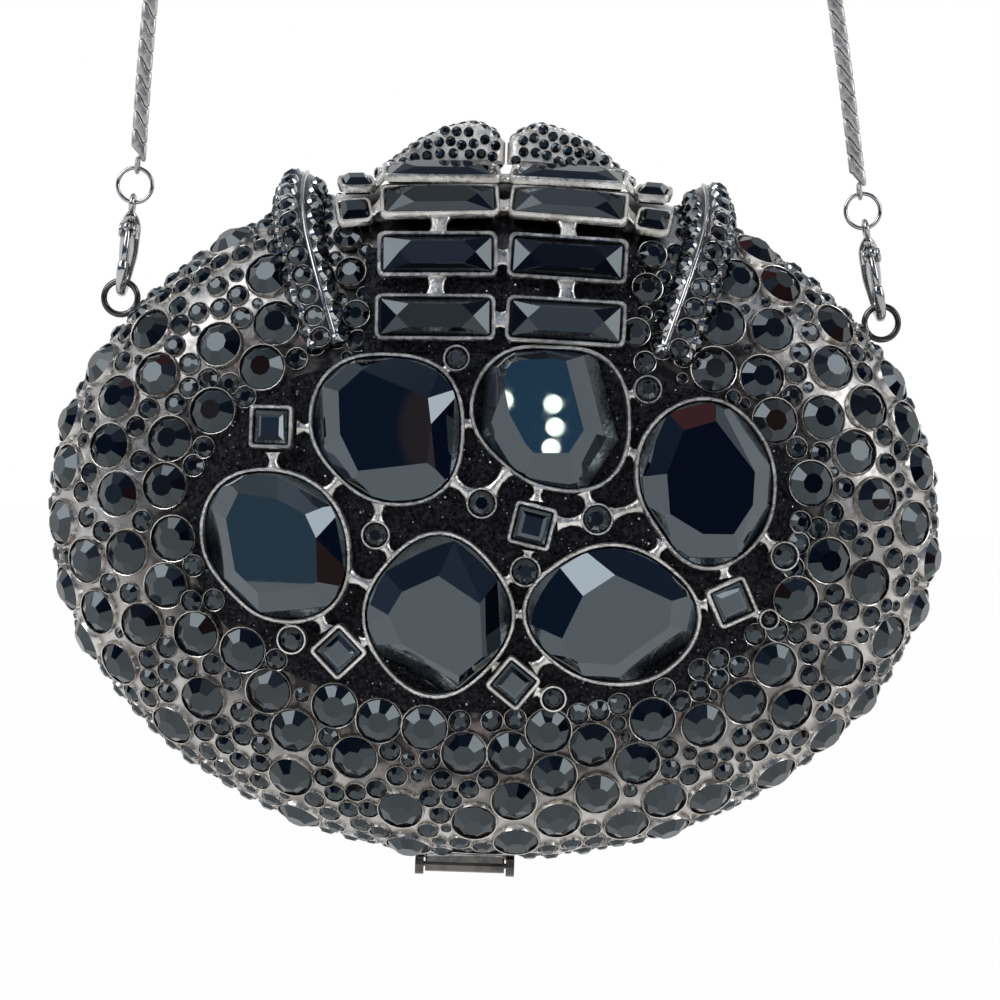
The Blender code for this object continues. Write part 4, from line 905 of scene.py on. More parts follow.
def tilted_seat(x, share, standoff, tilt, droop):
    """Axes of a stone that stands free of the dome, tilted up from facing forward and drooping outward."""
    lean = math.radians(tilt)
    out = np.array((0.0, -math.cos(lean), math.sin(lean)))
    level = np.array((0.0, math.sin(lean), math.cos(lean)))
    c, s = math.cos(math.radians(droop)), math.sin(math.radians(droop)) * math.copysign(1.0, x)
    height = share * HALF_HEIGHT
    place = np.array((x, dome_at(0.0, height)[1] - standoff, height))
    return c * X_AXIS - s * level, c * level + s * X_AXIS, out, place


def pixel_on_front(px, py):
    """Place on the front shell that a pixel of the photograph shows."""
    ray = pixel_ray(px, py)
    y = -DEPTH[FRONT]
    for _ in range(PIXEL_ROUNDS):
        place = CAMERA + ray * (y + FAR)
        reach = math.hypot(place[0] / HALF_WIDTH, place[2] / HALF_HEIGHT)
        y = 0.5 * y + 0.5 * dome_at(place[0], place[2])[1]
    return onto_dome(place, FRONT)[0][0] if reach < PIXEL_SLACK else None


# Cut stones


def cut_gem(outline, low, table, planes):
    """A flat-backed stone ground from a prism.

    Every plane (point, outward normal) takes off what lies outside it.
    """
    shape = bmesh.new()
    under = [shape.verts.new((u, v, low)) for u, v in outline]
    over = [shape.verts.new((u, v, table)) for u, v in outline]
    shape.faces.new(under[::-1])
    shape.faces.new(over)
    for i in range(len(outline)):
        n = (i + 1) % len(outline)
        shape.faces.new((under[i], under[n], over[n], over[i]))
    for place, normal in planes:
        everything = shape.verts[:] + shape.edges[:] + shape.faces[:]
        cut = bmesh.ops.bisect_plane(
            shape, geom=everything, dist=1e-5, plane_co=place, plane_no=normal, clear_outer=True
        )
        rim = [e for e in cut["geom_cut"] if isinstance(e, bmesh.types.BMEdge)]
        if rim:
            bmesh.ops.edgeloop_fill(shape, edges=rim)
    shape.verts.index_update()
    points = np.array([v.co[:] for v in shape.verts])
    faces = [tuple(v.index for v in f.verts) for f in shape.faces]
    shape.free()
    return points, faces


def sloping(way, slope):
    """Outward normal of a plane that falls away from the table in a direction."""
    return way[0] * math.sin(slope), way[1] * math.sin(slope), math.cos(slope)


def facet(turn, reach, slope, table):
    """A crown plane that meets the table at a reach from the middle and falls away at a slope."""
    way = math.cos(math.radians(turn)), math.sin(math.radians(turn))
    return (reach * way[0], reach * way[1], table), sloping(way, math.radians(slope))


def circle(radius, sides):
    return [(radius * math.cos(t), radius * math.sin(t)) for t in full_turn(sides)]


def rounded_box(width, height, radius, steps=4):
    """Outline of a rectangle with round corners."""
    outline = []
    for k, (sx, sy) in enumerate(((1, 1), (-1, 1), (-1, -1), (1, -1))):
        for t in np.linspace(k * math.pi / 2, (k + 1) * math.pi / 2, steps):
            u = sx * (width / 2 - radius) + radius * math.cos(t)
            outline.append((u, sy * (height / 2 - radius) + radius * math.sin(t)))
    return outline


def round_gem(radius, sides, table_share, girdle, table):
    """A round stone with one ring of wedge facets."""
    reach = radius * table_share
    slope = math.degrees(math.atan2(table - girdle, radius * ROUND_GIRDLE - reach))
    planes = [facet(360 * k / sides, reach, slope, table) for k in range(sides)]
    return cut_gem(circle(radius, 3 * sides), ROUND_LOW, table, planes)


def square_gem(size, corner, low, table, table_share, slope):
    """A square stone with four facets round its table."""
    planes = [facet(90 * k, size * table_share, slope, table) for k in range(4)]
    return cut_gem(rounded_box(size, size, corner), low, table, planes)


def make_gem(name, seat, gem, finish):
    """A cut stone as a piece of its own, at its seat."""
    pile = Pile()
    pile.add(seated(seat, gem[0]), gem[1])
    pile.make(f"cut_{name}", finish, "front_half", "black_crystal", [name])


def bezel(pile, seat, outside, inside, low, high):
    """Wall round a stone with a rounded lip."""
    outside, inside = np.array(outside), np.array(inside)
    lip = outside + (inside - outside) * LIP_SHARE
    back = outside + (inside - outside) * (1 - LIP_SHARE)
    edge = high - LIP_DROP
    levels = [(outside, low), (outside, edge), (lip, high), (back, high), (inside, edge), (inside, low)]
    rings = [seated(seat, np.column_stack((flat, np.full(len(flat), lift)))) for flat, lift in levels]
    loft(pile, np.swapaxes(np.array(rings), 0, 1), loop=True)


# Packing round stones on a surface


def pack(points, radius, taken, gap=0.02, far_off=40.0):
    """Indexes of the places where round stones fit, each set where it nestles closest to its neighbours."""
    near = np.full(len(points), far_off)
    second = np.full(len(points), far_off)

    def settle(place, reach):
        away = np.linalg.norm(points - place, axis=1) - reach
        closer = away < near
        second[:] = np.where(closer, near, np.minimum(second, away))
        near[:] = np.minimum(near, away)

    for place, reach in taken:
        settle(place, reach)
    found = []
    while True:
        score = np.where(near >= radius + gap, near + second, np.inf)
        best = int(np.argmin(score))
        if not np.isfinite(score[best]):
            return found
        found.append(best)
        settle(points[best], radius)


def surface_points(points, faces, count):
    """Random places on a mesh with smooth normals."""
    points = np.asarray(points)
    triangles = np.array([(f[0], f[i], f[i + 1]) for f in faces for i in range(1, len(f) - 1)])
    corners = points[triangles]
    normals = np.cross(corners[:, 1] - corners[:, 0], corners[:, 2] - corners[:, 0])
    smooth = np.zeros_like(points)
    for k in range(3):
        np.add.at(smooth, triangles[:, k], normals)
    areas = np.linalg.norm(normals, axis=1)
    chosen = dice.choice(len(triangles), count, p=areas / areas.sum())
    a, b = dice.random(count), dice.random(count)
    over = a + b > 1
    a[over], b[over] = 1 - a[over], 1 - b[over]
    shares = np.column_stack((1 - a - b, a, b))[:, :, None]
    places = (corners[chosen] * shares).sum(1)
    return places, units((smooth[triangles[chosen]] * shares).sum(1))


def stone_set(radius, cup, girdle, table, low, high, sides, tip):
    """Variants of a round stone, the cup that holds it, and how far stones tip, in degrees."""
    variants = [round_gem(radius, cuts, share, girdle, table) for cuts, share in ROUND_CUTS]
    wall = cup - radius
    profile = [
        (cup + 0.12, low),
        (cup, high * 0.55),
        (cup - wall * 0.3, high),
        (cup - wall * 0.6, high * 0.92),
        (cup - wall * 0.7, low),
    ]
    return variants, lathe(profile, sides), tip


LARGE_SET = stone_set(*LARGE_ROUND, girdle=0.5, table=2.1, low=-1.1, high=0.85, sides=22, tip=4.0)
SMALL_SET = stone_set(*SMALL_ROUND, girdle=0.3, table=1.2, low=-1.1, high=0.55, sides=14, tip=5.0)
PAVE_SET = stone_set(*PAVE_ROUND, girdle=0.18, table=0.55, low=-0.2, high=0.28, sides=10, tip=5.0)


def tipped(normal, right, up, spread):
    """A normal leaning at random, by so many degrees as a rule."""
    lean = np.radians(dice.normal(0.0, spread, 2))
    return unit(normal + right * lean[0] + up * lean[1])


def set_stone(gems, cups, kind, place, normal, scale=1.0):
    """One round stone in its cup, turned and tipped a little."""
    variants, (cup_points, cup_faces), tip = kind
    right, up = frame_of(normal, dice.uniform(0, 2 * math.pi))
    out = tipped(normal, right, up, tip / 2)
    right = unit(right - out * right.dot(out))
    points, faces = variants[dice.integers(len(variants))]
    gems.add(seated((right, np.cross(out, right), out, place), points * scale), faces)
    cups.add(seated((*frame_of(normal), normal, place), cup_points * scale), cup_faces)


# Strap: chain of flat curb links between two jump rings, and the claws


class Claw:
    """One lobster claw in its own plane: u points forward, v along its length, x across."""

    def __init__(self, name):
        self.name = name
        side = SIDES[name]
        lean = math.radians(LEAN[name])
        self.along = np.array((-side * math.sin(lean), 0.0, math.cos(lean)))
        self.across = np.array((math.cos(lean), 0.0, side * math.sin(lean)))
        self.forward = -Y_AXIS
        self.loop, self.out = loop_centre(side)
        self.base = self.loop + self.along * LOOP_RADIUS

    def at(self, u, v, x=0.0):
        return self.base + self.forward * u + self.along * v + self.across * x

    def sweep(self, pile, stations, steps=6, sides=16):
        """A smooth bar with round ends through stations of (u, v, half thickness, half width)."""
        fine = smooth_through(stations, steps)
        ways = units(np.gradient(fine[:, :2], axis=0))
        rows = [(fine[0], ways[0], -push, size) for push, size in BAR_END]
        rows += [(station, way, 0.0, 1.0) for station, way in zip(fine, ways)]
        rows += [(fine[-1], ways[-1], push, size) for push, size in BAR_END[::-1]]
        rings = []
        for (u, v, thick, wide), (du, dv), push, size in rows:
            u, v = u + du * push * thick, v + dv * push * thick
            ring = []
            for roll in full_turn(sides):
                off, x = size * thick * math.cos(roll), size * wide * math.sin(roll)
                ring.append(self.at(u - dv * off, v + du * off, x))
            rings.append(ring)
        loft(pile, rings)

    def plate(self, pile, outline, x0, x1, edge=0.15):
        """A flat piece with softened edges between two distances across the plane."""
        middle = np.mean(outline, axis=0)
        rings = []
        for x, inset in ((x0, edge), (x0 + edge, 0.0), (x1 - edge, 0.0), (x1, edge)):
            ring = []
            for u, v in outline:
                way = np.array((u, v)) - middle
                way = way * (1 - inset / max(np.linalg.norm(way), 1e-6))
                ring.append(self.at(*(middle + way), x))
            rings.append(ring)
        loft(pile, rings)


def loop_centre(side):
    """Middle of a side loop, and the direction out from the oval there."""
    turn = math.radians(LOOP_ANGLE)
    edge = np.array((HALF_WIDTH * math.cos(turn), HALF_HEIGHT * math.sin(turn)))
    out = unit(np.array((math.cos(turn) / HALF_WIDTH, math.sin(turn) / HALF_HEIGHT)))
    place = edge + out * LOOP_STANDOFF
    return np.array((side * place[0], LOOP_BACK, place[1])), np.array((side * out[0], 0.0, out[1]))


def chain_line(claws):
    """Middle line of the chain, from one jump ring over the strap's top to the other."""
    start_v = CLAW_LENGTH + 2 * JUMP_RADIUS + JUMP_WIRE + CLEAR
    route = [claws["left"].at(0.0, start_v)]
    route += [np.array((x, LOOP_BACK, z)) for x, z in STRAP_ROUTE]
    route.append(claws["right"].at(0.0, start_v))
    return smooth_through(route, ROUTE_STEPS)


def make_chain(claws):
    """Flat chain: links pressed together along S-shaped seams, with a small end link at each ring."""
    line = chain_line(claws)
    run = run_along(line)
    length = run[-1]

    def axes(s):
        spots = np.clip((s, s - 1.0, s + 1.0), 0.0, length)
        place, behind, ahead = (np.array([np.interp(t, run, line[:, i]) for i in range(3)]) for t in spots)
        along = unit(ahead - behind)
        side = np.cross(along, Y_AXIS)
        return place, along, side, np.cross(side, along)

    pile = Pile()
    count = round((length - 2 * CHAIN_MARGIN) / LINK_PITCH)
    pitch = (length - 2 * CHAIN_MARGIN) / count
    rolls = full_turn(LINK_SIDES)
    wide = np.sign(np.cos(rolls)) * np.abs(np.cos(rolls)) ** LINK_POWERS[0]
    deep = np.sign(np.sin(rolls)) * np.abs(np.sin(rolls)) ** LINK_POWERS[1]
    fall = np.clip((wide + LINK_SEAM) / (2 * LINK_SEAM), 0.0, 1.0)
    seam = LINK_SLANT * (3 * fall**2 - 2 * fall**3 - 0.5)
    for k in range(count):
        rings = []
        for share, size, lift in LINK_LEVELS:
            place, along, side, front = axes(CHAIN_MARGIN + (k + share) * pitch)
            ring = place + np.outer(wide * size * LINK_WIDTH / 2, side)
            ring = ring + np.outer(deep * lift * LINK_DEPTH, front)
            rings.append(ring + np.outer(seam, along))
        loft(pile, rings)
    for s, outward in ((0.0, -1), (length, 1)):
        place, along, side, front = axes(s)
        torus(pile, place + outward * END_LINK_SHIFT * along, along, front, *END_LINK, around=24, sides=10)
    chain = pile.make("chain_links", CHAIN, "strap", "chain_metal", ["chain_strap"], smooth=60)
    rings = []
    for name, claw in claws.items():
        ring = Pile()
        torus(ring, claw.at(0.0, CLAW_LENGTH + JUMP_RADIUS), claw.across, claw.along, JUMP_RADIUS, JUMP_WIRE)
        node = f"{name}_jump_ring"
        rings.append(ring.make(f"{name}_wire_ring", CLASP, "strap", "gunmetal", [node], smooth=80))


def capsule(a, b, radius):
    """Outline of a flat bar with round ends."""
    left = np.linspace(math.pi / 2, 1.5 * math.pi, 10)
    right = np.linspace(-math.pi / 2, math.pi / 2, 10)
    points = [(a[0] + radius * math.cos(t), a[1] + radius * math.sin(t)) for t in left]
    return points + [(b[0] + radius * math.cos(t), b[1] + radius * math.sin(t)) for t in right]


def make_claw(claw):
    """Hook with its eye and cheeks, sprung gate with its thumb nub, and rivet."""
    name = claw.name
    u, v = GATE_PIVOT
    hook, gate, rivet = Pile(), Pile(), Pile()
    claw.sweep(hook, HOOK_STATIONS)
    eye = claw.at(0.0, CLAW_LENGTH + JUMP_WIRE + CLEAR - EYE_HOLE)
    torus(hook, eye, claw.forward, claw.along, EYE_HOLE + EYE_WIRE, EYE_WIRE, around=28)
    inner = GATE_HALF + CHEEK_GAP
    reach = inner + CHEEK_THICK
    for side in (-1, 1):
        ends = sorted((side * inner, side * reach))
        claw.plate(hook, capsule((CHEEK_START, v), GATE_PIVOT, CHEEK_RADIUS), *ends)
    hook.make(f"{name}_hook", CLASP, f"{name}_claw_body", "gunmetal", [f"{name}_claw"], smooth=50)
    for stations in (GATE_BAR, GATE_NUB):
        claw.sweep(gate, [(u + du, v + dv, thick, wide) for du, dv, thick, wide in stations])
    gate.make(f"{name}_gate_bar", CLASP, f"{name}_gate_body", "gunmetal", [f"{name}_gate"], smooth=50)
    levels = [(-reach - past, radius) for past, radius in RIVET_HEAD]
    levels += [(reach + past, radius) for past, radius in RIVET_HEAD[::-1]]
    loft(rivet, [[claw.at(u + du, v + dv, x) for du, dv in circle(radius, 14)] for x, radius in levels])
    rivet.make(f"{name}_rivet", DARK, f"{name}_claw_body", "dark_gunmetal", [f"{name}_gate_pin"], smooth=40)


def make_loop(claw):
    """Fixed ring at the side with the lug that holds it to the shell."""
    pile = Pile()
    torus(pile, claw.loop, X_AXIS, Z_AXIS, LOOP_RADIUS, LOOP_WIRE)
    across = np.array((-claw.out[2], 0.0, claw.out[0]))
    rings = []
    for reach, wide, thick in LUG_LEVELS:
        middle = claw.loop - claw.out * reach
        turns = full_turn(20)
        rings.append([middle + across * wide * math.cos(t) + Y_AXIS * thick * math.sin(t) for t in turns])
    loft(pile, rings)
    pile.make(f"{claw.name}_side_ring", DARK, "back_half", "dark_gunmetal", [f"{claw.name}_loop"], smooth=50)


# Shells and linings


def dome_rings(sizes, side, end, rings, around):
    """Rings of a dome surface from its middle to its end."""
    made = []
    for tau in np.linspace(0.0, end, rings + 1):
        reach = math.sin(tau) ** (2 / DOME_POWER)
        y = side * (SEAM / 2 + sizes[2] * math.cos(tau))
        turns = full_turn(around)
        made.append([(sizes[0] * reach * math.cos(t), y, sizes[1] * reach * math.sin(t)) for t in turns])
    return made


def make_shell(side, name, body):
    """Pressed dome with its outer and inner face."""
    pile = Pile()
    outer = (HALF_WIDTH, HALF_HEIGHT, DEPTH[side])
    inner = tuple(size - WALL for size in outer)
    rings = dome_rings(outer, side, math.pi / 2, rings=40, around=120)
    rings += dome_rings(inner, side, math.pi / 2, rings=14, around=120)[::-1]
    loft(pile, rings, capped=False)
    pile.make(f"{name}_plate", SHELL, body, "gunmetal", [name], smooth=50)


def make_lining(side, name, body):
    """Satin stretched inside a shell, with shallow pulls."""
    gap = WALL + CLEAR + LINING_GAP
    sizes = (HALF_WIDTH - gap, HALF_HEIGHT - gap, DEPTH[side] - gap)
    end = math.acos((RIM_DEPTH + CLEAR) / sizes[2])
    rings = np.array(dome_rings(sizes, side, end, LINING_RINGS, around=96))
    for k, ring in enumerate(rings):
        share = k / LINING_RINGS
        turns = np.arctan2(ring[:, 2] / HALF_HEIGHT, ring[:, 0] / HALF_WIDTH)
        pull = share**2 * (1 - share) * PULL_SWELL
        ring[:, 1] += side * PULL_DEPTH * pull * np.sin(turns * PULLS + side)
    pile = Pile()
    loft(pile, rings, capped=False)
    lining = pile.make(f"{name}_satin", SATIN, body, "black_satin", [name], smooth=80)


# Kiss lock


def make_tab(name, side, body):
    """Half-moon tab on its foot, pavé with small stones on both faces and over the top."""
    low = [(x, oval_top(x) + TAB_LIFT) for x in np.linspace(TAB_LENGTH, SEAM / 2, 14)]
    crown = low[-1][1] - TAB_LIFT
    start = low[-1][0]
    high = [
        (start, crown + TAB_LIFT + TAB_NOTCH_HEIGHT),
        (TAB_PEAK * 0.4, crown + TAB_PEAK_HEIGHT * 0.9),
        (TAB_PEAK, crown + TAB_PEAK_HEIGHT),
        ((TAB_PEAK + TAB_LENGTH) / 2, crown + TAB_PEAK_HEIGHT * 0.64),
        low[0],
    ]
    outline = np.array(low + [tuple(p) for p in smooth_through(high, 7)[:-1]])
    middle = outline.mean(axis=0)
    rings = []
    for share in np.linspace(-1, 1, 11):
        flat = middle + (outline - middle) * (1 - TAB_INSET * abs(share) ** 3)
        gap_side = np.maximum(flat[:, 0], start)
        deep = np.full(len(flat), TAB_THICK / 2 * share)
        rings.append(np.column_stack((side * gap_side, deep, flat[:, 1])))
    tab = Pile()
    loft(tab, rings)
    skin = (np.concatenate(tab.points), list(tab.faces))
    half = FRONT if body == "front_half" else BACK
    foot_x = (side * TAB_PEAK, side * (TAB_PEAK + TAB_FOOT))
    foot_low = oval_top(TAB_PEAK) + CLEAR
    foot = []
    for z, grow in ((foot_low, 0.0), (foot_low + 0.6, FOOT_INSET), (foot_low + TAB_LIFT + 1.5, FOOT_INSET)):
        flat = rounded_box(abs(foot_x[1] - foot_x[0]) + 2 * grow, TAB_FOOT_THICK + 2 * grow, 0.5)
        foot.append([(sum(foot_x) / 2 + u, half * FOOT_BACK + v, z) for u, v in flat])
    loft(tab, foot)
    # Tab and its cups take the paler tab plate: painted light.
    tab.make(f"{name}_plate", TAB_METAL, body, "gunmetal", [name], smooth=40)
    places, normals = surface_points(*skin, PAVE_TRIED)
    if ((places - places.mean(0)) * normals).sum() < 0:
        normals = -normals
    keep = (normals[:, 2] > PAVE_LOWEST) & (np.abs(places[:, 0]) > start + PAVE_ROOM)
    places, normals = places[keep], normals[keep]
    gems, cups = Pile(), Pile()
    for i in pack(places, PAVE_ROUND[1], []):
        set_stone(gems, cups, PAVE_SET, places[i], normals[i])
    gems.make(f"{name}_pave", JET, body, "black_crystal")
    cups.make(f"{name}_pave_cups", TAB_METAL, body, "gunmetal", smooth=50)


# Lattice of large stones


def large_outline(reaches, inset):
    """Smooth outline through the reaches of a large stone, drawn in by an inset."""
    reach = smooth_through([(r,) for r in reaches], 6, closed=True)[:, 0] - inset
    turns = full_turn(len(reach))
    return np.column_stack((reach * np.cos(turns), reach * np.sin(turns)))


def table_on_seat(seat, corners, lift):
    """Corners of a table, seen at pixels of the photograph, in the plane of a seat."""
    right, up, out, origin = seat
    level = origin + out * lift
    flat = []
    for px, py in corners:
        ray = pixel_ray(px, py)
        place = CAMERA + ray * ((level - CAMERA).dot(out) / ray.dot(out))
        flat.append(((place - level).dot(right), (place - level).dot(up)))
    flat = np.array(flat)
    area = sum(a[0] * b[1] - a[1] * b[0] for a, b in zip(flat, np.roll(flat, -1, axis=0)))
    return flat if area > 0 else flat[::-1]


def girdle_facets(girdle, height):
    """Steep planes all round that bring the edge of a stone down to its bezel."""
    made = []
    for turn in 2 * math.pi * np.arange(GIRDLE_FACETS) / GIRDLE_FACETS:
        way = np.array((math.cos(turn), math.sin(turn)))
        nearest = girdle[np.argmax(girdle @ way)]
        made.append(((*nearest, height), sloping(way, math.radians(GIRDLE_SLOPE))))
    return made


def corner_facet(before, after):
    """A plane that opens as a triangle from the corner of the table between two crown planes."""
    ridge = np.cross(before[1], after[1])
    ridge *= -np.sign(ridge[2])
    slope = math.atan2(-ridge[2], np.linalg.norm(ridge[:2])) + math.radians(CORNER_SLOPE)
    return after[0], sloping(unit(ridge[:2]), slope)


def crown_planes(flat, girdle, table):
    """Planes from the sides of a table down to the girdle, and a triangle at each corner."""
    least, most = np.radians(CROWN_SLOPES)
    planes = []
    for a, b in zip(flat, np.roll(flat, -1, axis=0)):
        way = unit(np.array((b[1] - a[1], a[0] - b[0])))
        off = girdle - (a + b) / 2
        facing = (np.abs(off @ np.array((-way[1], way[0]))) < FACING_WIDTH) & (off @ way > 0)
        run = max((off @ way)[facing].max(initial=0.0), LEAST_RUN)
        slope = min(max(math.atan2(STONE_CROWN + CROWN_DROP, run), least), most)
        planes.append(((a[0], a[1], table), sloping(way, slope)))
    return planes + [corner_facet(*pair) for pair in zip(planes, planes[1:] + planes[:1])]


def make_lattice():
    """Bezels joined by bridges, with the large, square and round stones in them."""
    metal_pile, rounds = Pile(), Pile()
    play = BEZEL_WALL + STONE_PLAY
    low = BEZEL_FOOT + CLEAR
    places, outlines = {}, {}
    for name, (middle, reaches, corners) in LARGE_STONES.items():
        seat = seat_on_front(*middle)
        outside = large_outline(reaches, 0.0)
        places[name], outlines[name] = np.array(middle), outside
        bezel(metal_pile, seat, outside, large_outline(reaches, BEZEL_WALL), BEZEL_FOOT, BEZEL_HIGH)
        girdle = large_outline(reaches, play)
        table = BEZEL_HIGH + STONE_CROWN
        planes = crown_planes(table_on_seat(seat, corners, table), girdle, table)
        planes += girdle_facets(girdle, BEZEL_HIGH - GIRDLE_DROP)
        make_gem(name, seat, cut_gem(girdle, low, table, planes), CUT_JET)
    for name, (middle, side, turn) in SQUARE_STONES.items():
        seat = seat_on_front(*middle, turn)
        c, s = math.cos(math.radians(turn)), math.sin(math.radians(turn))
        outside = rounded_box(side, side, SQUARE_CORNERS[0])
        places[name] = np.array(middle)
        outlines[name] = np.array([(u * c - v * s, u * s + v * c) for u, v in outside])
        inside = rounded_box(side - 2 * BEZEL_WALL, side - 2 * BEZEL_WALL, SQUARE_CORNERS[1])
        bezel(metal_pile, seat, outside, inside, BEZEL_FOOT, BEZEL_HIGH)
        table = BEZEL_HIGH + SQUARE_RISE
        gem = square_gem(side - 2 * play, SQUARE_CORNERS[2], low, table, table_share=0.28, slope=42.0)
        make_gem(name, seat, gem, CUT_JET)
    for name, (middle, radius) in ROUND_STONES.items():
        seat = seat_on_front(*middle)
        out, origin = seat[2:]
        places[name] = np.array(middle)
        outlines[name] = np.array(circle(radius, 24))
        inside = circle(radius - BUTTON_WALL, 28)
        bezel(metal_pile, seat, circle(radius, 28), inside, BEZEL_FOOT, BEZEL_HIGH - BUTTON_DROP)
        girdle, table = BEZEL_HIGH - BUTTON_GIRDLE, BEZEL_HIGH + BUTTON_RISE
        points, faces = round_gem(radius - BUTTON_INSET, *BUTTON_CUT, girdle, table)
        points[:, 2] = np.maximum(points[:, 2], BEZEL_FOOT)
        rounds.add(seated((*frame_of(out, dice.uniform(0, 6)), out, origin), points), faces)
    for a, b in BRIDGES:
        make_bridge(metal_pile, places[a], places[b], outlines[a], outlines[b])
    metal_pile.make("lattice_wire", BRIGHT, "front_half", "gunmetal", ["stone_lattice"], smooth=45)
    rounds.make("lattice_rounds", JET, "front_half", "black_crystal")


def reach_towards(outline, way):
    """How far an outline reaches along a direction."""
    along = outline @ way
    aside = np.abs(outline @ np.array((-way[1], way[0])))
    near = (along > 0) & (aside < 1.5)
    return along[near].max() if near.any() else np.linalg.norm(outline, axis=1).min()


def make_bridge(pile, start, end, outline_a, outline_b):
    """Low rounded bar between two bezels."""
    way = unit(end - start)
    start = start + way * (reach_towards(outline_a, way) - BRIDGE_OVERLAP)
    end = end - way * (reach_towards(outline_b, -way) - BRIDGE_OVERLAP)
    if (end - start).dot(way) < BRIDGE_LEAST:
        middle = (start + end) / 2
        start, end = middle - way * (BRIDGE_LEAST / 2), middle + way * (BRIDGE_LEAST / 2)
    side = np.array((-way[1], way[0]))
    rings = []
    for share, half in BRIDGE_LEVELS:
        spot = start + (end - start) * share
        ring = []
        for roll in full_turn(12):
            flat = spot + side * half * math.cos(roll)
            lift = BEZEL_FOOT + BRIDGE_RISE + BRIDGE_RISE * math.sin(roll)
            ring.append(over_front(*flat, lift)[0][0])
        rings.append(ring)
    loft(pile, rings)


# Baguettes


def baguette_gem(width, height, table, girdle):
    """Long stone: six-sided table with pointed ends, long side facets, corner facets and triangular ends."""
    rise = table - girdle
    half = height / 2
    band = half * BAGUETTE_BAND
    tip = width / 2 - BAGUETTE_END
    diagonal = math.sqrt(0.5)
    planes = []
    for turns, reach, run in (
        ((90, -90), band, half - band),
        ((45, 135, 225, 315), tip * diagonal, (BAGUETTE_END + half) * diagonal),
        ((0, 180), tip, BAGUETTE_END),
    ):
        slope = math.degrees(math.atan2(rise, run))
        planes += [facet(turn, reach, slope, table) for turn in turns]
    return cut_gem(rounded_box(width, height, BAGUETTE_CORNER), CLEAR, table, planes)


def make_baguettes():
    """Rows of framed baguettes with small squares beside them, tied to each other."""
    metal_pile = Pile()
    play = BEZEL_WALL + STONE_PLAY
    table = FRAME_DEPTH + FRAME_RISE
    long_side, short_side = BAGUETTE_SIZE

    def framed(name, seat, width, height, gem):
        outside = rounded_box(width, height, FRAME_CORNERS[0])
        inside = rounded_box(width - 2 * BEZEL_WALL, height - 2 * BEZEL_WALL, FRAME_CORNERS[1])
        bezel(metal_pile, seat, outside, inside, FRAME_LOW, FRAME_DEPTH)
        make_gem(name, seat, gem, JET)

    def tie(a, b, across):
        """Rounded tab between two bezels, each given by a place and the direction out."""
        rings = []
        for share in np.linspace(0, 1, 5):
            place = a[0] + (b[0] - a[0]) * share
            out = a[1] + (b[1] - a[1]) * share
            wide = TIE_WIDTH * (1 - TIE_WAIST * math.sin(math.pi * share))
            flat = rounded_box(wide, TIE_THICK, TIE_CORNER)
            rings.append([place + across * u + out * (TIE_LIFT + v) for u, v in flat])
        loft(metal_pile, rings)

    girdle = FRAME_DEPTH - FRAME_GIRDLE
    long_gem = baguette_gem(long_side - 2 * play, short_side - 2 * play, table, girdle)
    flank_side = FLANK_SIDE - 2 * play
    square = square_gem(flank_side, FLANK_CORNER, CLEAR, table, table_share=0.30, slope=44.0)
    for kind, rows, column, size, gem in (
        ("baguette", BAGUETTE_ROWS, BAGUETTE_COLUMN, BAGUETTE_SIZE, long_gem),
        ("flank", FLANK_ROWS, FLANK_COLUMN, (FLANK_SIDE, FLANK_SIDE), square),
    ):
        for row, sizes in rows.items():
            for side_name, side in SIDES.items():
                framed(f"{kind}_{row}_{side_name}", tilted_seat(side * column, *sizes), *size, gem)

    rows = list(BAGUETTE_ROWS.values())
    reach = short_side / 2 - BEZEL_WALL / 2
    edge = FLANK_SIDE / 2 - BEZEL_WALL / 2
    outer = BAGUETTE_COLUMN + long_side / 2 - BEZEL_WALL / 2
    inner = BAGUETTE_COLUMN - long_side / 2 + BEZEL_WALL / 2
    for side in SIDES.values():
        for low_row, high_row in zip(rows, rows[1:]):
            lower = tilted_seat(side * BAGUETTE_COLUMN, *low_row)
            upper = tilted_seat(side * BAGUETTE_COLUMN, *high_row)
            tie((lower[3] + lower[1] * reach, lower[2]), (upper[3] - upper[1] * reach, upper[2]), lower[0])
        for row, sizes in FLANK_ROWS.items():
            beside = tilted_seat(side * outer, *BAGUETTE_ROWS[row])
            flank = tilted_seat(side * (FLANK_COLUMN - edge), *sizes)
            tie((beside[3], beside[2]), (flank[3], flank[2]), beside[1])
    for sizes in rows:
        left, right = tilted_seat(-inner, *sizes), tilted_seat(inner, *sizes)
        tie((left[3], left[2]), (right[3], right[2]), left[1])
    metal_pile.make("setting_wire", BRIGHT, "front_half", "gunmetal", ["baguette_setting"], smooth=45)


# Glitter sheet


def panel_share(x, z):
    """Below 1 inside the oval glitter sheet."""
    tall = np.where(np.asarray(z) > 0, PANEL_SHOULDER, PANEL_DROP)
    return np.abs(x / PANEL_HALF_WIDTH) ** PANEL_POWER + np.abs(z / tall) ** PANEL_POWER


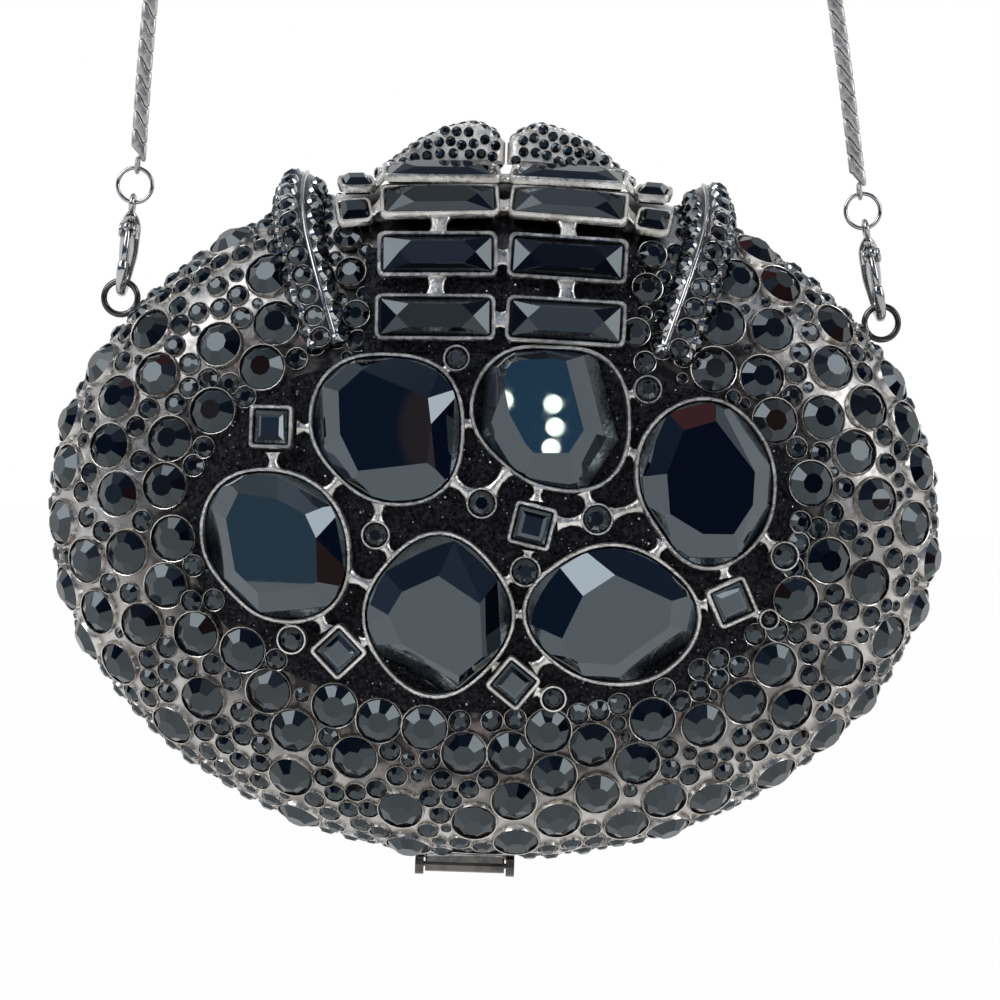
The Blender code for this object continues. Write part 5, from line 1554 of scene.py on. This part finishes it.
def make_glitter():
    """The oval sheet, the piece of it behind the baguettes, and loose grains on both."""
    rims = np.array(circle(1.0, PANEL_AROUND))
    reach = panel_share(rims[:, 0], rims[:, 1]) ** (-1 / PANEL_POWER)
    levels = {}
    for lift in (PANEL_LIFT, PANEL_LIFT - PANEL_THICK):
        flats = [rims * (reach * share)[:, None] for share in np.linspace(0.0, 1.0, PANEL_STEPS)]
        levels[lift] = [over_front(flat[:, 0], flat[:, 1], lift)[0] for flat in flats]
    face, rear = levels.values()
    oval = Pile()
    loft(oval, face + rear[::-1], capped=False)
    oval.make("glitter_oval", GLITTER, "front_half", "black_glitter", ["glitter_panel"], smooth=40)
    neck = Pile()
    columns = []
    for x in np.linspace(-PANEL_NECK, PANEL_NECK, PANEL_STEPS):
        low = PANEL_SHOULDER * (1 - abs(x / PANEL_HALF_WIDTH) ** PANEL_POWER) ** (1 / PANEL_POWER)
        zs = np.linspace(low + NECK_GAP, PANEL_TOP, NECK_STEPS)
        xs = np.full(NECK_STEPS, x)
        face, rear = (over_front(xs, zs, lift)[0] for lift in levels)
        columns.append(np.concatenate((face, rear[::-1])))
    loft(neck, columns)
    neck.make("glitter_neck", GLITTER, "front_half", "black_glitter", ["upper_panel"], smooth=40)
    grains = Pile()
    xs = dice.uniform(-PANEL_HALF_WIDTH, PANEL_HALF_WIDTH, GRAINS_TRIED)
    zs = dice.uniform(-PANEL_DROP, PANEL_TOP, GRAINS_TRIED)
    in_oval = panel_share(xs, zs) < GRAIN_EDGE[0]
    in_neck = (np.abs(xs) < PANEL_NECK - GRAIN_EDGE[1]) & (zs > 0)
    kept = in_oval | in_neck
    for place, normal in zip(*over_front(xs[kept], zs[kept], PANEL_LIFT + GRAIN_LIFT)):
        right, up = frame_of(normal, dice.uniform(0, 6))
        out = tipped(normal, right, up, GRAIN_LEAN)
        right = np.cross(up, out)
        size = dice.uniform(*GRAIN_SIZES)
        across = np.cross(out, right)
        rings = []
        for wide, high in GRAIN_LEVELS:
            flat = circle(1.0, GRAIN_SIDES)
            corners = [wide * u * right + wide * v * across + high * out for u, v in flat]
            rings.append([place + size * corner for corner in corners])
        loft(grains, rings)
    grains.make("glitter_grains", GRAINS, "front_half", "black_glitter")


# Ridges


def ridge_line(side):
    """Middle line of a ridge on the front shell, from the seam to the lattice, and the normals."""
    top_x, from_top = RIDGE_TOP
    edge_z = oval_top(top_x)
    start = onto_dome((side * top_x, RIDGE_FRONT, edge_z), FRONT)[0][0]
    end = dome_at(side * RIDGE_END[0], RIDGE_END[1])
    knee = onto_dome((side * top_x, -DEPTH[FRONT] * RIDGE_KNEE, edge_z - from_top), FRONT)[0][0]
    return onto_dome(smooth_through([start, knee, end], 14), FRONT)


def rib_arch(place, across, normal, half, rise, turn):
    """Point of a rib's round back at a turn from one flank to the other."""
    flank = onto_dome(place + across * half * math.cos(turn), FRONT, CLEAR)[0][0]
    return flank + normal * rise * math.sin(turn)


def make_ridge(name, side):
    """Rounded rib over a shoulder: columns of stones beside a bright wire, and small ones below."""
    line, normals = ridge_line(side)
    last = len(line) - 1
    rings, crest = [], []
    columns = {turn: [] for turn in COLUMN_TURNS}
    for i, (place, normal) in enumerate(zip(line, normals)):
        share = i / last
        half = (RIDGE_WIDTHS[0] + (RIDGE_WIDTHS[1] - RIDGE_WIDTHS[0]) * share) / 2
        rise = RIDGE_RISES[0] + (RIDGE_RISES[1] - RIDGE_RISES[0]) * share
        across = np.cross(unit(line[min(i + 1, last)] - line[max(i - 1, 0)]), normal)
        section = (place, across, normal, half, rise)
        ring = []
        for off in np.linspace(-1, 1, 6):
            ring.append(onto_dome(place + across * half * off, FRONT, CLEAR)[0][0])
        for turn in np.linspace(0, math.pi, 15)[1:-1]:
            ring.append(rib_arch(*section, turn))
        rings.append(ring)
        for inward, column in columns.items():
            turn = math.radians(90 - side * inward)
            way = across * rise * math.cos(turn) + normal * half * math.sin(turn)
            column.append((*rib_arch(*section, turn), *way))
        top = rib_arch(*section, math.radians(90 - side * CREST_TURN))
        crest.append([top + CREST_WIRE * (u * across + v * normal) for u, v in circle(1.0, 8)])
    body = Pile()
    loft(body, rings)
    skin = (np.concatenate(body.points), list(body.faces))
    body.make(f"{name}_ridge_plate", DARK, "front_half", "gunmetal", [f"{name}_ridge"], smooth=50)
    places, ways = surface_points(*skin, RIDGE_TRIED)
    middle = np.array([np.argmin(np.linalg.norm(line - p, axis=1)) for p in places])
    rising = ((places - line[middle]) * normals[middle]).sum(1)
    if ((places - line[middle]) * ways).sum() < 0:
        ways = -ways
    facing = (ways * normals[middle]).sum(1)
    keep = (rising > RIDGE_LEAST_RISE) & (facing > RIDGE_LEAST_FACING)
    places, ways = places[keep], ways[keep]
    gems, cups = Pile(), Pile()
    loft(cups, crest)
    taken = [(np.mean(ring, axis=0), CREST_WIRE) for ring in crest]
    cup = SMALL_ROUND[1] * RIDGE_SCALE
    for column in columns.values():
        column = np.array(column)
        run = run_along(column[:, :3])
        for s in np.arange(cup, run[-1] - COLUMN_END, 2 * cup + COLUMN_GAP):
            spot = np.array([np.interp(s, run, column[:, k]) for k in range(6)])
            if spot[1] > -cup - SEAM:
                continue
            set_stone(gems, cups, SMALL_SET, spot[:3], unit(spot[3:]), RIDGE_SCALE)
            taken.append((spot[:3], cup))
    heading = unit(line[-1] - line[-2])
    end = line[-1] + normals[-1] * (RIDGE_RISES[1] * END_LIFT + CLEAR)
    across = np.cross(heading, normals[-1])
    for off in (-0.5, 0.5):
        place = end + across * off * RIDGE_WIDTHS[1] * END_SPREAD
        set_stone(gems, cups, SMALL_SET, place, unit(heading + normals[-1] * END_LEAN), END_SCALE)
        taken.append((place, cup))
    for scale in RIDGE_SCALES:
        radius = SMALL_ROUND[1] * scale
        ahead = np.flatnonzero(places[:, 1] < -radius - SEAM)
        for i in ahead[pack(places[ahead], radius, taken)]:
            set_stone(gems, cups, SMALL_SET, places[i], ways[i], scale)
            taken.append((places[i], radius))
    gems.make(f"{name}_ridge_stones", JET, "front_half", "black_crystal")
    cups.make(f"{name}_ridge_cups", CLASP, "front_half", "gunmetal", smooth=50)


# The field of round stones


def dome_candidates(side, count):
    """Scattered places on a shell: half of them even over its face, half over its steep edge."""
    tau = np.arccos(dice.uniform(0.0, 1.0, count // 2) ** EDGE_CROWDING)
    edge = np.sin(tau) ** (2 / DOME_POWER)
    face = np.sqrt(dice.uniform(0.0, 1.0, count // 2))
    reach = np.concatenate((edge, face))
    return dome_round(reach, dice.uniform(0, 2 * math.pi, len(reach)), side)


def free_of_fittings(places, side, margin):
    """Which places keep clear of the hinge leaves, tab feet, loops, seam, panel, baguettes and ridges."""
    x, y, z = places.T
    deep = side * y
    free = deep > SEAM / 2 + margin + SEAM_ROOM
    wide, high, far = HINGE_ROOM
    free &= ~((np.abs(x - HINGE_SHIFT) < wide) & (z < high) & (deep < far + margin))
    foot = SIDES["right"] if side == FRONT else SIDES["left"]
    wide, high, far = FOOT_ROOM
    free &= ~((np.abs(x - foot * FOOT_PLACE) < wide + margin) & (z > high) & (deep < far + margin))
    if side == BACK:
        for hand in SIDES.values():
            middle, out = loop_centre(hand)
            free &= np.linalg.norm(places - (middle - out * LOOP_STANDOFF), axis=1) > LUG_ROOM + margin
        return free
    free &= panel_share(x, z) > 1.0 + margin * PANEL_ROOM
    for wide, high in BAGUETTE_ROOM:
        free &= ~((np.abs(x) < wide + margin) & (z > high))
    for hand in SIDES.values():
        line = ridge_line(hand)[0]
        away = np.min(np.linalg.norm(places[:, None, :] - line[None], axis=2), axis=1)
        free &= away > RIDGE_ROOM + margin
    return free


def make_field(side, name, body):
    """Round stones of two sizes all over a shell, the front's main ones where the photograph shows them."""
    gems, cups, taken = Pile(), Pile(), []

    def settle(place, normal, kind, cup, scale=1.0):
        if side == FRONT and panel_share(place[0], place[2]) < 1.0 + EDGE_ROOM * cup * scale:
            place = place + normal * PANEL_LIFT
        set_stone(gems, cups, kind, place, normal, scale)
        taken.append((place, cup * scale))

    def fill(kind, cup, scale=1.0):
        """Stones wherever they still fit."""
        free = np.flatnonzero(free_of_fittings(places, side, cup * scale))
        for i in free[pack(places[free], cup * scale, taken)]:
            settle(places[i], normals[i], kind, cup, scale)

    large, small = LARGE_ROUND[1], SMALL_ROUND[1]
    if side == FRONT:
        for pixels, kind, cup in ((LARGE_PLACES, LARGE_SET, large), (SMALL_PLACES, SMALL_SET, small)):
            for px, py in pixels:
                place = pixel_on_front(px, py)
                if place is None or -place[1] < SEAM / 2 + cup * SEAM_SHARE:
                    continue
                if any(np.linalg.norm(place - p) < (cup + r) * OVERLAP for p, r in taken):
                    continue
                settle(place, onto_dome(place, FRONT)[1][0], kind, cup)
        for (px, py), radius in FLANK_ROUNDS:
            place = pixel_on_front(px, py)
            normal = onto_dome(place, FRONT)[1][0]
            settle(place + normal * FLANK_LIFT, normal, LARGE_SET, large, radius / LARGE_ROUND[0])
    places, normals = dome_candidates(side, FIELD_TRIED)
    if side == FRONT:
        fill(LARGE_SET, large)
    else:
        for k, reach in enumerate(BACK_RINGS):
            count = max(1, 6 * k)
            turns = 2 * math.pi * (np.arange(count) + 0.5 * (k % 2)) / count
            for place, normal in zip(*dome_round(reach, turns, BACK)):
                settle(place, normal, LARGE_SET, large)
    for scale in (1.0, *FILL_SCALES):
        fill(SMALL_SET, small, scale)
    gems.make(f"{name}_stones", JET, body, "black_crystal")
    cups.make(f"{name}_cups", CUP_METAL, body, "gunmetal", smooth=50)


# Solids that stay as they are, with finer edges and a finish


def dress_solids():
    # The hinge leaves and pin take the dark plate as painted shade, for the knuckle in shadow at the bottom;
    # the rims take the clasp plate.
    for name, finish in (
        ("back_rim", CLASP),
        ("front_rim", CLASP),
        ("back_hinge", DARK),
        ("front_hinge", DARK),
        ("hinge_pin", DARK),
    ):
        node = nodes[name]
        node.data.materials.clear()
        node.data.materials.append(finish)
        edge = node.modifiers.new("soft_edge", "BEVEL")
        edge.width = 0.25 * MM
        edge.segments = 2
        edge.limit_method = "ANGLE"


# Stage, lights and camera


def make_stage():
    """A wide pale floor below the hanging bag, which ends a little way behind the camera."""
    shape = bmesh.new()
    bmesh.ops.create_grid(shape, x_segments=8, y_segments=8, size=1.0)
    mesh = bpy.data.meshes.new("floor")
    shape.to_mesh(mesh)
    shape.free()
    floor = bpy.data.objects.new("floor", mesh)
    floor.scale = FLOOR_SIZE
    floor.location = FLOOR_PLACE
    bpy.context.scene.collection.objects.link(floor)
    paper = bpy.data.materials.new("floor_paper")
    paper.use_nodes = True
    tree = Nodes(paper.node_tree)
    shader = paper.node_tree.nodes["Principled BSDF"]
    shader.inputs["Base Color"].default_value = FLOOR_PAPER
    shader.inputs["Roughness"].default_value = FLOOR_ROUGH
    share = tree.math("MULTIPLY", tree.seen(), FLOOR_GLOW)
    white = tree.add("ShaderNodeEmission", {"Color": WHITE, "Strength": 1.0})
    both = tree.add("ShaderNodeMixShader", {0: share, 1: shader.outputs[0], 2: white.outputs[0]})
    tree.feed(paper.node_tree.nodes["Material Output"].inputs["Surface"], both.outputs[0])
    mesh.materials.append(paper)


def make_world():
    """White room behind the bag; dark and blue in front of it, with a few lamps, for the stones to show."""
    world = bpy.data.worlds.new("studio")
    bpy.context.scene.world = world
    world.use_nodes = True
    tree = Nodes(world.node_tree)
    back = world.node_tree.nodes["Background"]
    way = tree.add("ShaderNodeTexCoord").outputs["Generated"]
    parts = tree.add("ShaderNodeSeparateXYZ", {"Vector": way})
    x, y, z = (parts.outputs[k] for k in "XYZ")

    def spot(direction, wide, soft=0.1):
        """Share of a round spot about a direction, with its half width in degrees."""
        inputs = {0: way, 1: tuple(Vector(direction).normalized())}
        near = tree.add("ShaderNodeVectorMath", inputs, operation="DOT_PRODUCT").outputs["Value"]
        edges = [math.cos(math.radians(wide * (1 + k))) for k in (soft, -soft)]
        return tree.span(near, *edges)

    def both(a, b):
        return tree.math("MULTIPLY", a, b)

    middle = tree.span(tree.math("ABSOLUTE", x), 0.40, 0.34)
    front = tree.span(y, -0.10, -0.16)
    room = tree.mix(tree.span(z, 0.58, 0.66), ROOM_SIDES, ROOM_ABOVE)
    room = tree.mix(tree.span(x, 0.45, 0.70), room, ROOM_RIGHT)
    deep = tree.mix(tree.span(x, 0.10, 0.16), DEEP_LEFT, DEEP_RIGHT)
    low = both(tree.span(z, -0.01, -0.045), tree.span(x, 0.10, 0.02))
    deep = tree.mix(low, deep, DEEP_LOW)
    deep = tree.mix(tree.span(z, 0.36, 0.42), deep, DEEP_HIGH)
    band = both(middle, both(tree.span(z, 0.18, 0.21), tree.span(z, 0.38, 0.34)))
    deep = tree.mix(band, deep, DEEP_BAND)
    room = tree.mix(both(front, tree.span(z, 0.95, 0.89)), room, deep)
    mirror = seat_on_front(*LARGE_STONES["stone_upper_middle"][0])[2]
    lamps = []
    for px, py in LAMP_PIXELS:
        ray = pixel_ray(px, py)
        lamps.append((tuple(ray - 2 * ray.dot(mirror) * mirror), LAMP_HALF_WIDTH, LAMP_LIGHT))
    for direction, wide, colour in SPOTS + lamps:
        room = tree.mix(spot(direction, wide), room, (*colour, 1.0))
    behind = both(tree.span(y, -0.06, 0.02), tree.span(z, 0.62, 0.54))
    camera = tree.add("ShaderNodeLightPath").outputs["Is Camera Ray"]
    white = tree.math("MAXIMUM", camera, both(behind, tree.seen()))
    tree.feed(back.inputs["Color"], tree.mix(white, room, WHITE))
    back.inputs["Strength"].default_value = 1.0


def softbox(name, place, size, power):
    data = bpy.data.lights.new(name, "AREA")
    data.shape = "RECTANGLE"
    data.size, data.size_y = size
    data.energy = power
    lamp = bpy.data.objects.new(name, data)
    lamp.location = place
    aim = Vector(SOFTBOX_AIM) - lamp.location
    lamp.rotation_euler = aim.to_track_quat("-Z", "Y").to_euler()
    bpy.context.scene.collection.objects.link(lamp)


def make_camera():
    data = bpy.data.cameras.new("camera")
    data.sensor_fit = "HORIZONTAL"
    data.angle = 2 * math.atan(HALF_PICTURE * PIXEL / FAR)
    data.clip_start = CLIP_START
    camera = bpy.data.objects.new("camera", data)
    c, s = math.cos(ROLL), math.sin(ROLL)
    place = to_world(CAMERA)
    camera.matrix_world = Matrix((
        (c, -s, 0.0, place[0]),
        (0.0, 0.0, -1.0, place[1]),
        (s, c, 0.0, place[2]),
        (0.0, 0.0, 0.0, 1.0),
    ))
    bpy.context.scene.collection.objects.link(camera)
    bpy.context.scene.camera = camera


claws = {name: Claw(name) for name in SIDES}
make_camera()
make_chain(claws)
for claw in claws.values():
    make_claw(claw)
    make_loop(claw)
for half, name in ((FRONT, "front"), (BACK, "back")):
    make_shell(half, f"{name}_shell", f"{name}_half")
    make_lining(half, f"{name}_lining", f"{name}_half")
    make_field(half, f"{name}_field", f"{name}_half")
make_tab("front_tab", SIDES["right"], "front_half")
make_tab("back_tab", SIDES["left"], "back_half")
make_glitter()
make_lattice()
make_baguettes()
for name, side in SIDES.items():
    make_ridge(name, side)
dress_solids()
make_stage()
make_world()
for name, (place, size, power) in SOFTBOXES.items():
    softbox(name, place, size, power)
bpy.context.scene.view_settings.view_transform = "Standard"
